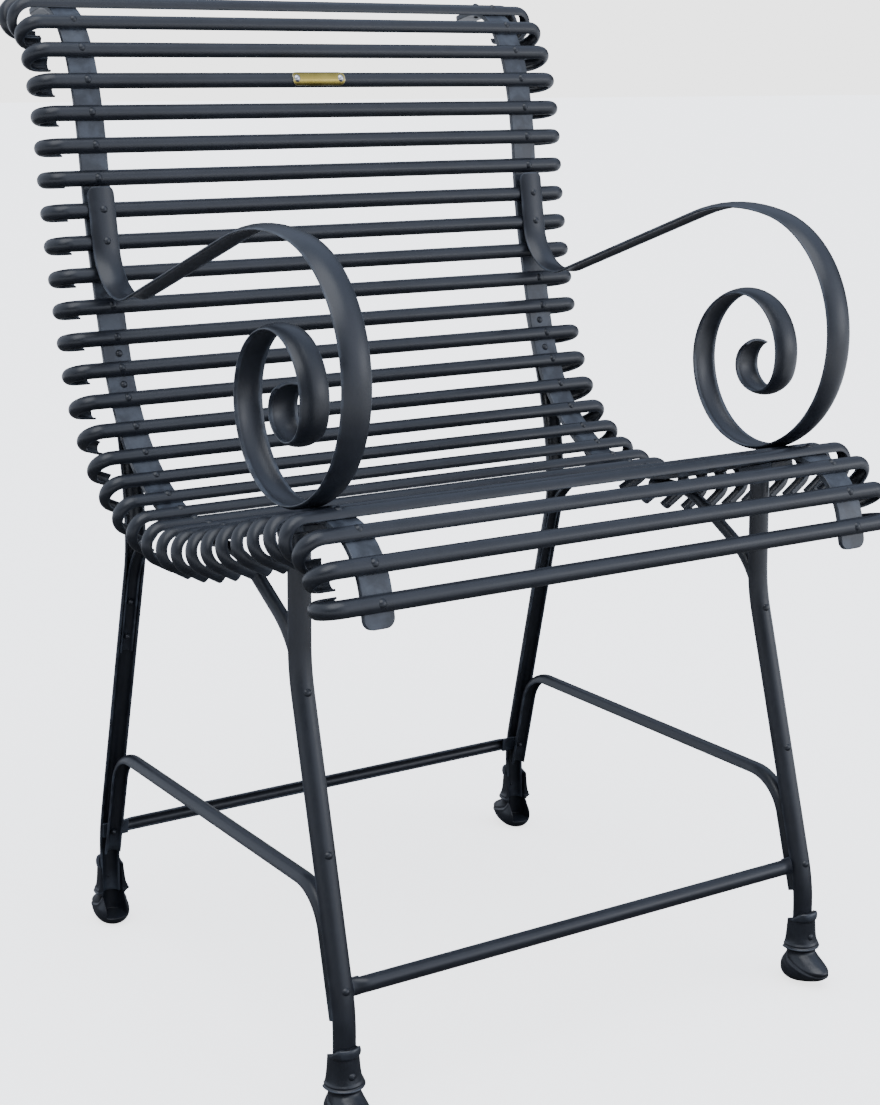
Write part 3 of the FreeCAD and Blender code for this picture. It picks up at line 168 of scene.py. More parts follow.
def shell_section(outer, wall, drop=0.0, rounding=LIP_ROUNDING):
    """Closed section of a hollow bar: points, outward normals and a mask of its lips.

    Outer arc, left lip, inner arc, right lip. Both arcs share a centre below the lips by drop.
    """
    inner = outer - wall
    rise = rounding + drop
    out_x = math.sqrt((outer - rounding) ** 2 - rise ** 2)
    in_x = math.sqrt((inner + rounding) ** 2 - rise ** 2)
    out_angle = math.asin(rise / (outer - rounding))
    in_angle = math.asin(rise / (inner + rounding))
    down, half = -math.pi / 2, math.pi
    runs = [
        (out_x, rounding, rounding, down, out_angle, LIP_POINTS, 1, 1),
        (0, -drop, outer, out_angle, half - out_angle, ARC_POINTS, 1, 0),
        (-out_x, rounding, rounding, half - out_angle, half - down, LIP_POINTS, 1, 1),
        (-in_x, rounding, rounding, half - down, 2 * half - in_angle, LIP_POINTS, 1, 1),
        (0, -drop, inner, half - in_angle, in_angle, ARC_POINTS, -1, 0),
        (in_x, rounding, rounding, half + in_angle, half - down, LIP_POINTS, 1, 1),
    ]
    points, normals, lips = [], [], []
    for x, y, radius, first, last, count, sense, lip in runs:
        spots, angle = arc_points(x, y, radius, first, last, count)
        if lip == 0:
            spots, angle = spots[1:-1], angle[1:-1]
        points.append(spots)
        normals.append(sense * np.column_stack([np.cos(angle), np.sin(angle)]))
        lips.append(np.full(len(spots), float(lip)))
    return np.vstack(points), np.vstack(normals), np.concatenate(lips)


def flat_section(half_width, thickness, rounding):
    """Rounded rectangle for each half width: points (row, column, 2), normals and mask.

    Each corner is a quarter circle, and the third corner follows the second and so on.
    """
    half_width = half_width[:, None]
    points, normals = [], []
    for quarter, (x_side, high) in enumerate([(1, 1), (-1, 1), (-1, 0), (1, 0)]):
        angle = np.linspace(quarter, quarter + 1, LIP_POINTS) * math.pi / 2
        x = x_side * (half_width - rounding) + rounding * np.cos(angle)
        y = (thickness - rounding if high else rounding) + rounding * np.sin(angle)
        points.append(np.stack([x, np.broadcast_to(y, x.shape)], axis=-1))
        normals.append(np.column_stack([np.cos(angle), np.sin(angle)]))
    return np.concatenate(points, axis=1), np.vstack(normals), np.ones(4 * LIP_POINTS)


SLAT_RADIUS, SLAT_WALL = 7.0, 1.8
slat_section = shell_section(SLAT_RADIUS, SLAT_WALL)
print("half-round section:", len(slat_section[0]), "points")

# %% [markdown]
# ## From a section and a course to a mesh
#
# The points of a bar are a grid: rows along the course, columns round the section. At both ends
# a few more rows shrink the section while they move outwards on a quarter circle, so the cut
# end has a rounded rim like the lips. The faces come from the grid's own numbering, and each
# vertex gets the sum of its faces' area vectors as its normal, which keeps the broad faces
# flat and lets the small roundings turn the light.

# %% Make closed meshes from grids


def area_vectors(corners):
    """Area vector of each polygon, half the sum of the cross products of its sides' ends."""
    return 0.5 * np.cross(corners, np.roll(corners, -1, axis=1)).sum(axis=1)


def skin_object(name, grid, wear_and_highlight):
    """Object from a closed grid (row, column, xyz) in mm, with a flat face at both ends.

    The volume is the sum of each face's area vector times its middle; where it comes out
    negative, the grid runs the other way round and every face is turned over.
    """
    rows, columns = grid.shape[:2]
    points = grid.reshape(-1, 3) * MM
    index = np.arange(rows * columns).reshape(rows, columns)
    beside = np.roll(index, -1, axis=1)
    quads = np.stack([index[:-1], beside[:-1], beside[1:], index[1:]], axis=-1).reshape(-1, 4)
    ends = np.stack([index[0][::-1], index[-1]])
    centred = points - points.mean(axis=0)
    sides = area_vectors(centred[quads])
    caps = area_vectors(centred[ends])
    volume = (sides * centred[quads].mean(axis=1)).sum() + (caps * centred[ends].mean(axis=1)).sum()
    if volume < 0:
        quads, ends, sides, caps = quads[:, ::-1], ends[:, ::-1], -sides, -caps
    normals = np.zeros_like(points)
    np.add.at(normals, quads, sides[:, None])
    np.add.at(normals, ends, caps[:, None])
    normals /= np.linalg.norm(normals, axis=1, keepdims=True) + 1e-12

    mesh = bpy.data.meshes.new(name)
    mesh.vertices.add(len(points))
    mesh.vertices.foreach_set("co", points.ravel())
    loops = np.concatenate([quads.ravel(), ends.ravel()])
    mesh.loops.add(len(loops))
    mesh.loops.foreach_set("vertex_index", loops)
    sizes = np.concatenate([np.full(len(quads), 4), np.full(2, columns)])
    mesh.polygons.add(len(sizes))
    mesh.polygons.foreach_set("loop_start", np.concatenate([[0], np.cumsum(sizes)[:-1]]))
    mesh.polygons.foreach_set("use_smooth", np.ones(len(sizes), bool))
    mesh.update(calc_edges=True)
    # Mask of pale lips and rims: partly thinner paint, partly a painted highlight.
    mesh.attributes.new("wear_and_highlight", "FLOAT", "POINT").data.foreach_set("value", np.ravel(wear_and_highlight))
    mesh.normals_split_custom_set_from_vertices(normals)
    piece = bpy.data.objects.new(name, mesh)
    bpy.context.scene.collection.objects.link(piece)
    return piece


def eased(distances, rounding):
    """Distances with a rounded rim at both ends, and how far the section shrinks at each."""
    turn = np.linspace(0, math.pi / 2, LIP_POINTS)
    ease, shrink = rounding * (1 - np.cos(turn)), rounding * (1 - np.sin(turn))
    first, last = distances[0], distances[-1]
    clear = 1.5 * rounding
    inner = distances[(distances > first + clear) & (distances < last - clear)]
    where = np.concatenate([first + ease, inner, (last - ease)[::-1]])
    return where, np.concatenate([shrink, np.zeros(len(inner)), shrink[::-1]])


def carried(course, distances, shrink, section, crown):
    """Grid of a section carried along a course in the side plane.

    A point of the section, shrunk along its normal, goes x across and y towards the crown,
    which is on the left (1) or the right (-1) of the course.
    """
    points, normals = section[0], section[1]
    flat = points - shrink[:, None, None] * normals
    y, z, heading = places(course, distances)
    up_y, up_z = -crown * np.sin(heading), crown * np.cos(heading)
    return np.stack([
        flat[..., 0],
        y[:, None] + flat[..., 1] * up_y[:, None],
        z[:, None] + flat[..., 1] * up_z[:, None],
    ], axis=-1)


def wear_and_highlight_rows(grid, mask):
    """Mask of paler colour, for thinner paint and a painted highlight: its section's mask on every row,
    and 1 on the rims of both ends.
    """
    wear_and_highlight = np.tile(mask, (grid.shape[0], 1))
    wear_and_highlight[:LIP_POINTS] = wear_and_highlight[-LIP_POINTS:] = 1
    return wear_and_highlight


BOX_SLACK = 1.2
made = []


def finish_piece(piece, slot, *nodes):
    """The piece rides on the chair and stands for its nodes; prints how far their boxes differ."""
    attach(piece, "root")
    made.append((piece, slot))
    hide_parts(*nodes)
    corners = np.array([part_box(node) for node in nodes]).reshape(len(nodes), 2, 3)
    spots = np.array([corner[:] for corner in piece.bound_box])
    off = np.abs(np.array([spots.min(0), spots.max(0)]) - [corners[:, 0].min(0), corners[:, 1].max(0)])
    if off.max() > BOX_SLACK * MM:
        print(f"  {piece.name}: box differs by {off.max() / MM:.1f} mm")


# %% [markdown]
# ## Slats
#
# Thirty-three slats of 14 mm half-round bar lie across the two ribs, crown out. At each end the
# bar is bent back under itself in a tight half turn and cut off square, so from the side every
# slat ends in a small curl. Under the seat the ends hang a little open: the bend stops short of
# the half turn. The course lies in the slat's own plane: its points times the slat's own
# directions give the place of every vertex.

# %% Carry the slats
SLAT_COUNT = 33
SLAT_HALF = 280
CURL, CURL_RETURN = 12.6, 10
END_ROUNDING = 0.5
OPEN_BY = 30
OPENS, OPEN, STILL_OPEN, SHUT = 13, 15, 29, 30
slat_pitch = (RIB[-1, 0] - RIB_TOP_TAB - RIB_FRONT_TAB) / (SLAT_COUNT - 1)
slat_straight = SLAT_HALF - CURL - SLAT_RADIUS


def curl_turn(station):
    """Degrees that a slat's end is bent round: a half turn, and less by OPEN_BY under the seat."""
    opening = np.clip((station - OPENS) / (OPEN - OPENS), 0, 1)
    closing = np.clip((SHUT - station) / (SHUT - STILL_OPEN), 0, 1)
    return 180 - OPEN_BY * float(opening * closing)


def slat_course(turn):
    """Course of a slat in its own plane; its cut ends keep their distance from the middle.

    The end of an arc of radius r lies r cos t across from its centre, so the straight after
    it has to be longer the less it is bent.
    """
    bearing, heading = math.radians(90 + turn), math.radians(180 + turn)
    straight = (CURL_RETURN - CURL * math.cos(bearing)) / math.cos(heading)
    height = -CURL + CURL * math.sin(bearing) + straight * math.sin(heading)
    return lay_out(
        (CURL_RETURN - slat_straight, height, turn),
        [(straight,), (CURL, -turn), (2 * slat_straight,), (CURL, -turn), (straight,)],
    )


def station_frames(stations):
    """Places on the rib at stations: origin, direction back along the rib, and outwards."""
    y, z, heading = places(RIB, RIB_TOP_TAB + np.asarray(stations, float) * slat_pitch)
    out = np.stack([np.zeros_like(y), np.sin(heading), -np.cos(heading)], axis=-1)
    origin = np.stack([np.zeros_like(y), y + CENTRING_Y, z], axis=-1)
    beside = np.stack([np.zeros_like(y), out[:, 2], -out[:, 1]], axis=-1)
    return origin, beside, out


def hollow_lift(stations):
    """Lift of a slat over a hollow bend: curvature times its width squared over eight."""
    distance = RIB_TOP_TAB + np.asarray(stations) * slat_pitch
    step = np.searchsorted(RIB[:, 0], distance, side="right") - 1
    return np.maximum(0, -RIB[step, 4]) * (2 * SLAT_RADIUS) ** 2 / 8


def laid_across(grid, origin, beside, out):
    """Grid of a crosswise bar: its course's y runs across the chair and its z outwards."""
    return origin + grid[..., 1:2] * ACROSS - grid[..., :1] * beside + grid[..., 2:] * out


stations = np.arange(SLAT_COUNT)
origin, beside, out = station_frames(stations)
origin = origin + hollow_lift(stations)[:, None] * out
for number in range(SLAT_COUNT):
    course = slat_course(curl_turn(number))
    rows, shrink = eased(stops(course, longest=40, sharpest=9), END_ROUNDING)
    flat = carried(course, rows, shrink, slat_section, 1)
    grid = laid_across(flat, origin[number], beside[number], out[number])
    slat = skin_object(f"half_round_slat_{number:02d}", grid, wear_and_highlight_rows(grid, slat_section[2]))
    finish_piece(slat, "painted_iron", f"slat_{number:02d}")
print("slats:", SLAT_COUNT, "of", grid.shape[0] * grid.shape[1], "vertices each")

# %% [markdown]
# ## Ribs and arms
#
# The rib is flat bar: its section is a rectangle with small rounded corners. Its upper end is a
# full half circle and its front end has two rounded corners, so the half width is a function of
# the distance to the end: w = W - r + sqrt(r^2 - (r - d)^2). The arm strap is trimmed in the
# same way at its upper end, and there every point also moves down its own arc, which is what a
# file does to the corner of a channel.

# %% Carry the ribs and the arms
RIB_MIDDLE = 231.0
RIB_HALF, RIB_THICKNESS = 13.0, 5.0
RIB_TOP_CORNER, RIB_FRONT_CORNER, RIB_ROUNDING = 12.95, 8, 0.8
ARM_HALF, ARM_RISE, ARM_WALL = 14.5, 5.0, 2.6
ARM_CORNER, ARM_LIP, ARM_END_ROUNDING = 7, 0.8, 0.7


def trimmed(distance, half_width, corner):
    """Half width near an end whose corners are rounded."""
    short = np.clip(corner - distance, 0, corner)
    return half_width - corner + np.sqrt(corner ** 2 - short ** 2)


def corner_stops(radius, count):
    """Distances from an end that follow its rounded corner closely: r (1 - cos t)."""
    return radius * (1 - np.cos(np.linspace(0, math.pi / 2, count)))


def moved(grid, x):
    """Grid moved to its side of the chair and into the middle of the frame."""
    return grid + np.array([x, CENTRING_Y, 0])


def flat_bar(course, distances, half_width, thickness, rounding):
    """Grid and mask of a flat bar; half_width is a function of distance and length left."""
    rows, shrink = eased(distances, rounding)
    widths = half_width(rows - rows[0], rows[-1] - rows)
    section = flat_section(np.maximum(widths, rounding + shrink), thickness, rounding)
    grid = carried(course, rows, shrink, section, 1)
    return grid, wear_and_highlight_rows(grid, section[2])


def rib_half_width(start, left):
    """Half width of the rib, round at its top end and with two corners at its front end."""
    top = trimmed(start, RIB_HALF, RIB_TOP_CORNER)
    return np.minimum(top, trimmed(left, RIB_HALF, RIB_FRONT_CORNER))


top_stops = corner_stops(RIB_HALF, 14)
front_stops = RIB[-1, 0] - top_stops * RIB_FRONT_CORNER / RIB_HALF
rib_stops = np.unique(np.concatenate([stops(RIB, longest=25, sharpest=3), top_stops, front_stops]))
rib_grid, rib_wear_and_highlight = flat_bar(RIB, rib_stops, rib_half_width, RIB_THICKNESS, RIB_ROUNDING)

arm_radius = (ARM_HALF ** 2 + ARM_RISE ** 2) / (2 * ARM_RISE)
arm_section = shell_section(arm_radius, ARM_WALL, arm_radius - ARM_RISE, ARM_LIP)
arm_stops = np.concatenate([stops(ARM, longest=12, sharpest=4), corner_stops(ARM_CORNER, 10)])
arm_rows, arm_shrink = eased(np.unique(arm_stops), ARM_END_ROUNDING)
arm_grid = carried(ARM, arm_rows, arm_shrink, arm_section, -1)
arm_narrow = trimmed(arm_rows, ARM_HALF, ARM_CORNER) / ARM_HALF
arm_across = arm_grid[..., 0] * arm_narrow[:, None]
arm_slide = np.sqrt(arm_radius ** 2 - arm_across ** 2) - np.sqrt(arm_radius ** 2 - arm_grid[..., 0] ** 2)
arm_heading = places(ARM, arm_rows)[2]
arm_grid[..., 0] = arm_across
arm_grid[..., 1] += arm_slide * np.sin(arm_heading)[:, None]
arm_grid[..., 2] -= arm_slide * np.cos(arm_heading)[:, None]
arm_wear_and_highlight = wear_and_highlight_rows(arm_grid, arm_section[2])

for side, sign in SIDES.items():
    rib = skin_object(f"flat_rib_{side}", moved(rib_grid, sign * RIB_MIDDLE), rib_wear_and_highlight)
    finish_piece(rib, "painted_iron", f"side_rib_{side}")
    arm = skin_object(f"arm_strap_{side}", moved(arm_grid, sign * RIB_MIDDLE), arm_wear_and_highlight)
    finish_piece(arm, "painted_iron", f"arm_{side}")
print("arm strap radius:", round(arm_radius, 1), "mm")

# %% [markdown]
# ## Legs, braces and side stretchers
#
# These are the same half-round bar in three sizes, all bent in the plane of one side of the
# chair. That plane leans outwards by a little over one degree about the top of the front leg,
# so each grid is turned about an axis along Y after it is carried. The front leg ends in a flat
# palm that is riveted under the seat rib.

# %% Carry the bars of the underframe
LEAN = math.radians(1.12)
LEG_TOP = FRONT_LEG[0, 2]
LEG_RADIUS = 10
BARS = {
    # course, side of the crown, outer radius, wall
    "front_leg": (FRONT_LEG, -1, LEG_RADIUS, 2.2),
    "rear_leg": (REAR_LEG, 1, LEG_RADIUS, 2.2),
    "front_brace": (FRONT_BRACE, 1, 6.5, 1.8),
    "rear_brace": (REAR_BRACE, -1, 6.5, 1.8),
    "side_stretcher": (SIDE_STRETCHER, 1, 8, 1.8),
}
PALM_Y, PALM_Z, PALM_SLOPE = -489.454, 468.852, 164.4
PALM_LENGTH, PALM_HALF, PALM_THICKNESS, PALM_ROUNDING = 44, 12.5, 5, 0.8
palm_start = (
    PALM_Y - PALM_LENGTH / 2 * math.cos(math.radians(PALM_SLOPE)),
    PALM_Z - PALM_LENGTH / 2 * math.sin(math.radians(PALM_SLOPE)),
    PALM_SLOPE,
)
PALM = lay_out(palm_start, [(PALM_LENGTH,)])


def leaned(grid, sign):
    """Grid turned outwards about the rib's middle at the height of the front leg's top."""
    x, z = grid[..., 0], grid[..., 2] - LEG_TOP
    turned_x = x * math.cos(LEAN) - sign * z * math.sin(LEAN)
    turned_z = sign * x * math.sin(LEAN) + z * math.cos(LEAN)
    y = grid[..., 1] + CENTRING_Y
    return np.stack([turned_x + sign * RIB_MIDDLE, y, turned_z + LEG_TOP], axis=-1)


def palm_half_width(start, left):
    """Half width of the palm, the same all along."""
    return np.full_like(start, PALM_HALF)


def join(name, *pieces):
    """One object from several, with its own normals kept."""
    with bpy.context.temp_override(
        active_object=pieces[0], selected_editable_objects=list(pieces), object=pieces[0]
    ):
        bpy.ops.object.join()
    pieces[0].name = name
    return pieces[0]


palm_stops = stops(PALM, longest=10, sharpest=5)
palm_grid, palm_wear_and_highlight = flat_bar(PALM, palm_stops, palm_half_width, PALM_THICKNESS, PALM_ROUNDING)
for side, sign in SIDES.items():
    for kind, (course, crown, radius, wall) in BARS.items():
        section = shell_section(radius, wall)
        rows, shrink = eased(stops(course, longest=30, sharpest=3), END_ROUNDING)
        grid = carried(course, rows, shrink, section, crown)
        bar = skin_object(f"{kind}_bar_{side}", leaned(grid, sign), wear_and_highlight_rows(grid, section[2]))
        if kind == "front_leg":
            palm = skin_object(f"palm_{side}", leaned(palm_grid, sign), palm_wear_and_highlight)
            bar = join(f"{kind}_bar_{side}", bar, palm)
        finish_piece(bar, "painted_iron", f"{kind}_{side}")
print("underframe bars:", 2 * len(BARS))

# %% [markdown]
# ## Cross stretchers
#
# Each cross stretcher is a straight half-round bar whose ends are hammered flat, so that they
# pass between the leg and the side stretcher under one rivet. Over the last stretch the crown
# sinks to the height of the flat end; the sinking follows a smooth step, 3t^2 - 2t^3.

# %% Carry the cross stretchers
TIES = {"front": (FRONT_LEG, 110, 1), "rear": (REAR_LEG, 97, -1)}
TIE_GAP = 0.3
TAB_THICKNESS, TAB_HALF, TAB_ROUNDING = 2.4, 7.5, 0.6
TAB_ROOT, TAB_SHORT = 8.0, 1.5
SINK_SHARE, SINK_LENGTH = 0.55, 14
DENSE_LENGTH = 16


def smooth_step(t):
    """3t^2 - 2t^3 between 0 and 1, and flat outside."""
    t = np.clip(t, 0, 1)
    return t * t * (3 - 2 * t)


def distance_at_height(course, height):
    """Distance along a falling course where its z passes a height, by linear search and blend."""
    along = np.linspace(0, course[-1, 0], 4000)
    z = places(course, along)[1]
    return np.interp(-height, -z, along)


def tab_half_width(start, left):
    """Half width of a flat end, the same all along."""
    return np.full_like(start, TAB_HALF)


for end, (leg, height, sense) in TIES.items():
    y, z, heading = (float(v) for v in places(leg, distance_at_height(leg, height)))
    out = np.array([0, math.sin(heading), -math.cos(heading)]) * sense
    up = np.array([0, -out[2], out[1]])
    lips = np.array([0, y + CENTRING_Y, z]) - TIE_GAP * out
    middle = RIB_MIDDLE + (LEG_TOP - height) * math.tan(LEAN)
    half, tab_end = middle - LEG_RADIUS, middle + LEG_RADIUS - TAB_SHORT
    across = lay_out((-half, 0, 0), [(2 * half,)])
    dense = np.linspace(0, DENSE_LENGTH, 12)
    tie_stops = np.unique(np.concatenate([np.linspace(0, 2 * half, 24), dense, 2 * half - dense]))
    rows, shrink = eased(tie_stops, END_ROUNDING)
    grid = carried(across, rows, shrink, slat_section, 1)
    nearer = np.minimum(rows, 2 * half - rows)
    grid[..., 2] *= (1 - SINK_SHARE * smooth_step(1 - nearer / SINK_LENGTH))[:, None]
    wear_and_highlight = wear_and_highlight_rows(grid, slat_section[2])
    parts = [skin_object(f"tie_{end}", laid_across(grid, lips, up, out), wear_and_highlight)]
    for side, sign in SIDES.items():
        start = min(sign * (half - TAB_ROOT), sign * tab_end)
        tab_course = lay_out((start, -TAB_THICKNESS, 0), [(tab_end - half + TAB_ROOT,)])
        tab_stops = stops(tab_course, longest=4, sharpest=5)
        grid, wear_and_highlight = flat_bar(tab_course, tab_stops, tab_half_width, TAB_THICKNESS, TAB_ROUNDING)
        parts.append(skin_object(f"tie_tab_{end}_{side}", laid_across(grid, lips, up, out), wear_and_highlight))
    finish_piece(join(f"tie_bar_{end}", *parts), "painted_iron", f"{end}_cross_stretcher")
print("cross stretchers:", len(TIES))

# %% [markdown]
# ## Hoof feet
#
# The feet are sand castings shaped like a deer's hoof: a leaf-shaped collar, thick over the
# toe and running out to nothing at the sides, a neck that flares down to a thin ring bead, and
# the hoof with a soft crease above its sole. The casting is open behind, where the hollow of
# the leg shows. Its skin is one grid: a row is a closed loop round the casting at one level.
# Its outer half follows an oval with its own reach to the toe and to the heel, and its inner
# half follows the socket, or the heel's outline where the sole is solid. The levels and
# reaches come from a short list of stations, joined by smooth curves. The collar's rows follow
# a half circle whose size depends on the bearing.

# %% Cast the feet
HOOF_STATIONS = [
    # height, half width, toe, heel
    (0.0, 5.5, 5.0, 7.6),
    (0.7, 8.6, 9.0, 10.2),
    (2.2, 11.4, 15.0, 12.8),
    (4.6, 14.0, 22.2, 15.0),
    (7.4, 15.7, 29.0, 16.3),
    (10.2, 16.3, 32.9, 16.8),
    (13.4, 16.4, 34.6, 16.6),
    (16.6, 16.0, 34.3, 16.0),
    (20.0, 15.0, 29.6, 14.6),
    (24.0, 13.9, 21.6, 12.0),
    (27.4, 13.2, 15.6, 8.8),
    (29.2, 13.2, 14.4, 7.6),
]
NECK_STATIONS = [
    # height, half width, toe
    (29.2, 13.2, 14.4),
    (30.6, 13.7, 14.9),
    (31.8, 15.4, 16.2),
    (32.6, 16.9, 17.4),
    (33.3, 17.3, 17.8),
    (34.0, 16.9, 17.4),
    (34.7, 16.0, 16.5),
    (35.3, 15.8, 16.3),
    (36.1, 16.2, 16.6),
    (36.8, 15.9, 16.3),
    (38.0, 15.2, 15.6),
    (40.0, 14.6, 15.0),
    (43.0, 14.1, 14.3),
    (48.0, 13.5, 13.9),
    (54.0, 13.0, 13.6),
    (58.4, 12.7, 13.3),
]
HOOF_TOP = HOOF_STATIONS[-1][0]
COLLAR_LOW, COLLAR_BEAD, COLLAR_BULGE, COLLAR_THIN, COLLAR_SPREAD = 58.6, 4.3, 1.7, 0.35, 0.8
CREASE_LOW, CREASE_HIGH = 13.0, 22.0
RIDGE_SIZE, RIDGE_BELOW, RIDGE_WIDTH = 0.55, 1.5, 1.1
GROOVE_SIZE, GROOVE_ABOVE, GROOVE_WIDTH = 0.75, 0.3, 0.9
SOCKET, FLOOR, FLOOR_STEP, HEEL_LIP = 10.5, 9.0, 0.02, 5.0
SOCKET_WALL, SOCKET_WALL_LEAST = 0.6, 0.7
FLOOR_ROWS, COLLAR_ROWS = 12, 13
FOOT_COLUMNS, SOCKET_COLUMNS = 73, 33
RING_MIDDLE, RING_REACH = 33.4, 0.7
LEG_ENTRY = 46


def cubic_through(stations, heights):
    """Smooth values between stations: cubic pieces whose slopes are the mean of their chords."""
    known = np.array(stations, float)
    x, values = known[:, 0], known[:, 1:]
    chords = np.diff(values, axis=0) / np.diff(x)[:, None]
    slopes = np.vstack([chords[:1], (chords[1:] + chords[:-1]) / 2, chords[-1:]])
    step = np.clip(np.searchsorted(x, heights, side="right") - 1, 0, len(x) - 2)
    gap = (x[step + 1] - x[step])[:, None]
    t = (heights[:, None] - x[step][:, None]) / gap
    return (
        (2 * t ** 3 - 3 * t ** 2 + 1) * values[step]
        + (t ** 3 - 2 * t ** 2 + t) * gap * slopes[step]
        + (3 * t ** 2 - 2 * t ** 3) * values[step + 1]
        + (t ** 3 - t ** 2) * gap * slopes[step + 1]
    )


def foot_levels():
    """Height, half width, toe, heel, and place round the collar's half circle, of every row.

    Rows lie closest round the ring bead. Rows below the collar have -pi / 2 as their place, the
    lowest point of the half circle.
    """
    sole, hoof = np.linspace(0, FLOOR, FLOOR_ROWS), np.linspace(FLOOR + FLOOR_STEP, HOOF_TOP, 28)
    heights = np.concatenate([sole, hoof])
    low = np.column_stack([heights, cubic_through(HOOF_STATIONS, heights)])
    heights = np.concatenate([np.linspace(29.6, 38.6, 37), np.linspace(39.6, COLLAR_LOW, 20)])
    neck = np.column_stack([heights, cubic_through(NECK_STATIONS, heights), 0 * heights + HEEL_LIP])
    levels = np.vstack([low, neck, np.repeat(neck[-1:], COLLAR_ROWS, axis=0)])
    place = np.full(len(levels), -math.pi / 2)
    place[-COLLAR_ROWS:] = np.linspace(-math.pi / 2, math.pi / 2, COLLAR_ROWS + 1)[1:]
    return np.column_stack([levels, place])


def collar_share(angle):
    """Share of the collar at a bearing: 1 over the toe, running out to 0 at the sides."""
    return smooth_step(-np.sin(angle) / COLLAR_SPREAD)


def foot_grid():
    """Loops round the casting, toe towards -Y: outer oval, then the socket or the heel.

    At a bearing a the collar has the share s = smooth step of -sin a. Its rows rise by
    b (1 + sin t) and swell by c s cos t, where b grows with s and t is the row's place. The
    hoof's crease is a low ridge under a groove, both bell curves of the height above a line
    that climbs from the toe to the sides.
    """
    levels = foot_levels()
    height, half_width, toe, heel, place = (levels[:, k, None] for k in range(5))

    def risen(angle):
        """Height of each row at a bearing, with the collar's rise."""
        rise = COLLAR_THIN + (COLLAR_BEAD - COLLAR_THIN) * collar_share(angle)
        return height + (1 + np.sin(place)) * rise

    by_heel = np.arccos((SOCKET + SOCKET_WALL) / np.maximum(half_width, SOCKET + SOCKET_WALL_LEAST))
    by_lip = np.arcsin(HEEL_LIP / np.maximum(half_width, 2 * HEEL_LIP))
    hoof_row = height <= HOOF_TOP
    last = np.where(hoof_row, by_heel, by_lip)
    angle = last - np.linspace(0, 1, FOOT_COLUMNS)[None] * (math.pi + 2 * last)
    above = height - CREASE_LOW - (CREASE_HIGH - CREASE_LOW) * (1 + np.sin(angle)) ** 1.5
    ridge = RIDGE_SIZE * np.exp(-((above + RIDGE_BELOW) / RIDGE_WIDTH) ** 2)
    groove = GROOVE_SIZE * np.exp(-((above - GROOVE_ABOVE) / GROOVE_WIDTH) ** 2)
    swell = COLLAR_BULGE * collar_share(angle) * np.cos(place) + np.where(hoof_row, ridge - groove, 0)
    reach = np.where(np.sin(angle) > 0, np.where(hoof_row, heel, half_width), toe)
    outer_x = (half_width + swell) * np.cos(angle)
    outer_y = (reach + swell) * np.sin(angle)

    along = np.linspace(0, 1, SOCKET_COLUMNS + 2)[None, 1:-1]
    end_y = outer_y[:, -1:]
    straight = np.maximum(end_y, 0)
    total = 2 * straight + math.pi * SOCKET
    run = along * total
    round_angle = math.pi + np.clip((run - straight) / SOCKET, 0, math.pi)
    in_x = SOCKET * np.cos(round_angle)
    in_y = SOCKET * np.sin(round_angle)
    in_y += np.where(run < straight, end_y - run, 0)
    in_y += np.where(run > total - straight, run - total + end_y, 0)
    back_angle = (math.pi - last) + along * (2 * last - math.pi)
    solid = np.arange(len(levels))[:, None] < FLOOR_ROWS
    in_x = np.where(solid, half_width * np.cos(back_angle), in_x)
    in_y = np.where(solid, heel * np.sin(back_angle), in_y)
    return np.stack([
        np.concatenate([outer_x, in_x], axis=1),
        np.concatenate([outer_y, in_y], axis=1),
        np.concatenate([risen(angle), risen(round_angle)], axis=1),
    ], axis=-1)


foot_shape = foot_grid()
foot_wear_and_highlight = np.zeros(foot_shape.shape[:2])
# Ring bead and collar take the pale edge colour: a painted highlight along their crests, with some wear.
foot_wear_and_highlight[np.abs(foot_levels()[:, 0] - RING_MIDDLE) < RING_REACH] = 0.9
foot_wear_and_highlight[3 - COLLAR_ROWS:-2, :FOOT_COLUMNS] = 0.7
FEET = {"front": (FRONT_LEG, 1), "rear": (REAR_LEG, -1)}
for end, (leg, toe_sense) in FEET.items():
    leg_end_y = float(places(leg, leg[-1, 0])[0])
    for side, sign in SIDES.items():
        foot_x = sign * (RIB_MIDDLE + (LEG_TOP - LEG_ENTRY) * math.tan(LEAN))
        spot = np.array([foot_x, leg_end_y + CENTRING_Y, 0])
        placed = foot_shape * np.array([toe_sense, toe_sense, 1]) + spot
        foot = skin_object(f"hoof_casting_{end}_{side}", placed, foot_wear_and_highlight)
        finish_piece(foot, "painted_casting", f"foot_{end}_{side}")
print("feet:", foot_shape.shape[0], "rows of", foot_shape.shape[1], "points")

# %% [markdown]
# ## Brass plate
#
# A small bare plate of thin brass sheet is pressed round the crown of the fifth slat and held by
# two screws. It is a rounded rectangle on a cylinder: a row runs round the crown at one x, and
# its half height near the ends follows the same corner rule as the flat bar.

# %% Press the plate round its slat
PLATE_SLAT = 4
PLATE_HALF, PLATE_HEIGHT, PLATE_SHEET, PLATE_CORNER = 27.75, 13.6, 0.9, 5.5
PLATE_ROUNDING, PLATE_GAP, PLATE_LEAST = 0.3, 0.02, 0.5
RUN_POINTS, RUN_SHARE = 15, 0.97


def with_runs(corners, top, low, axis=0):
    """Corner values of a section with the runs of its top and of its underside let in."""
    first, middle, last = np.split(corners, [LIP_POINTS, 3 * LIP_POINTS], axis=axis)
    return np.concatenate([first, top, middle, low, last], axis=axis)


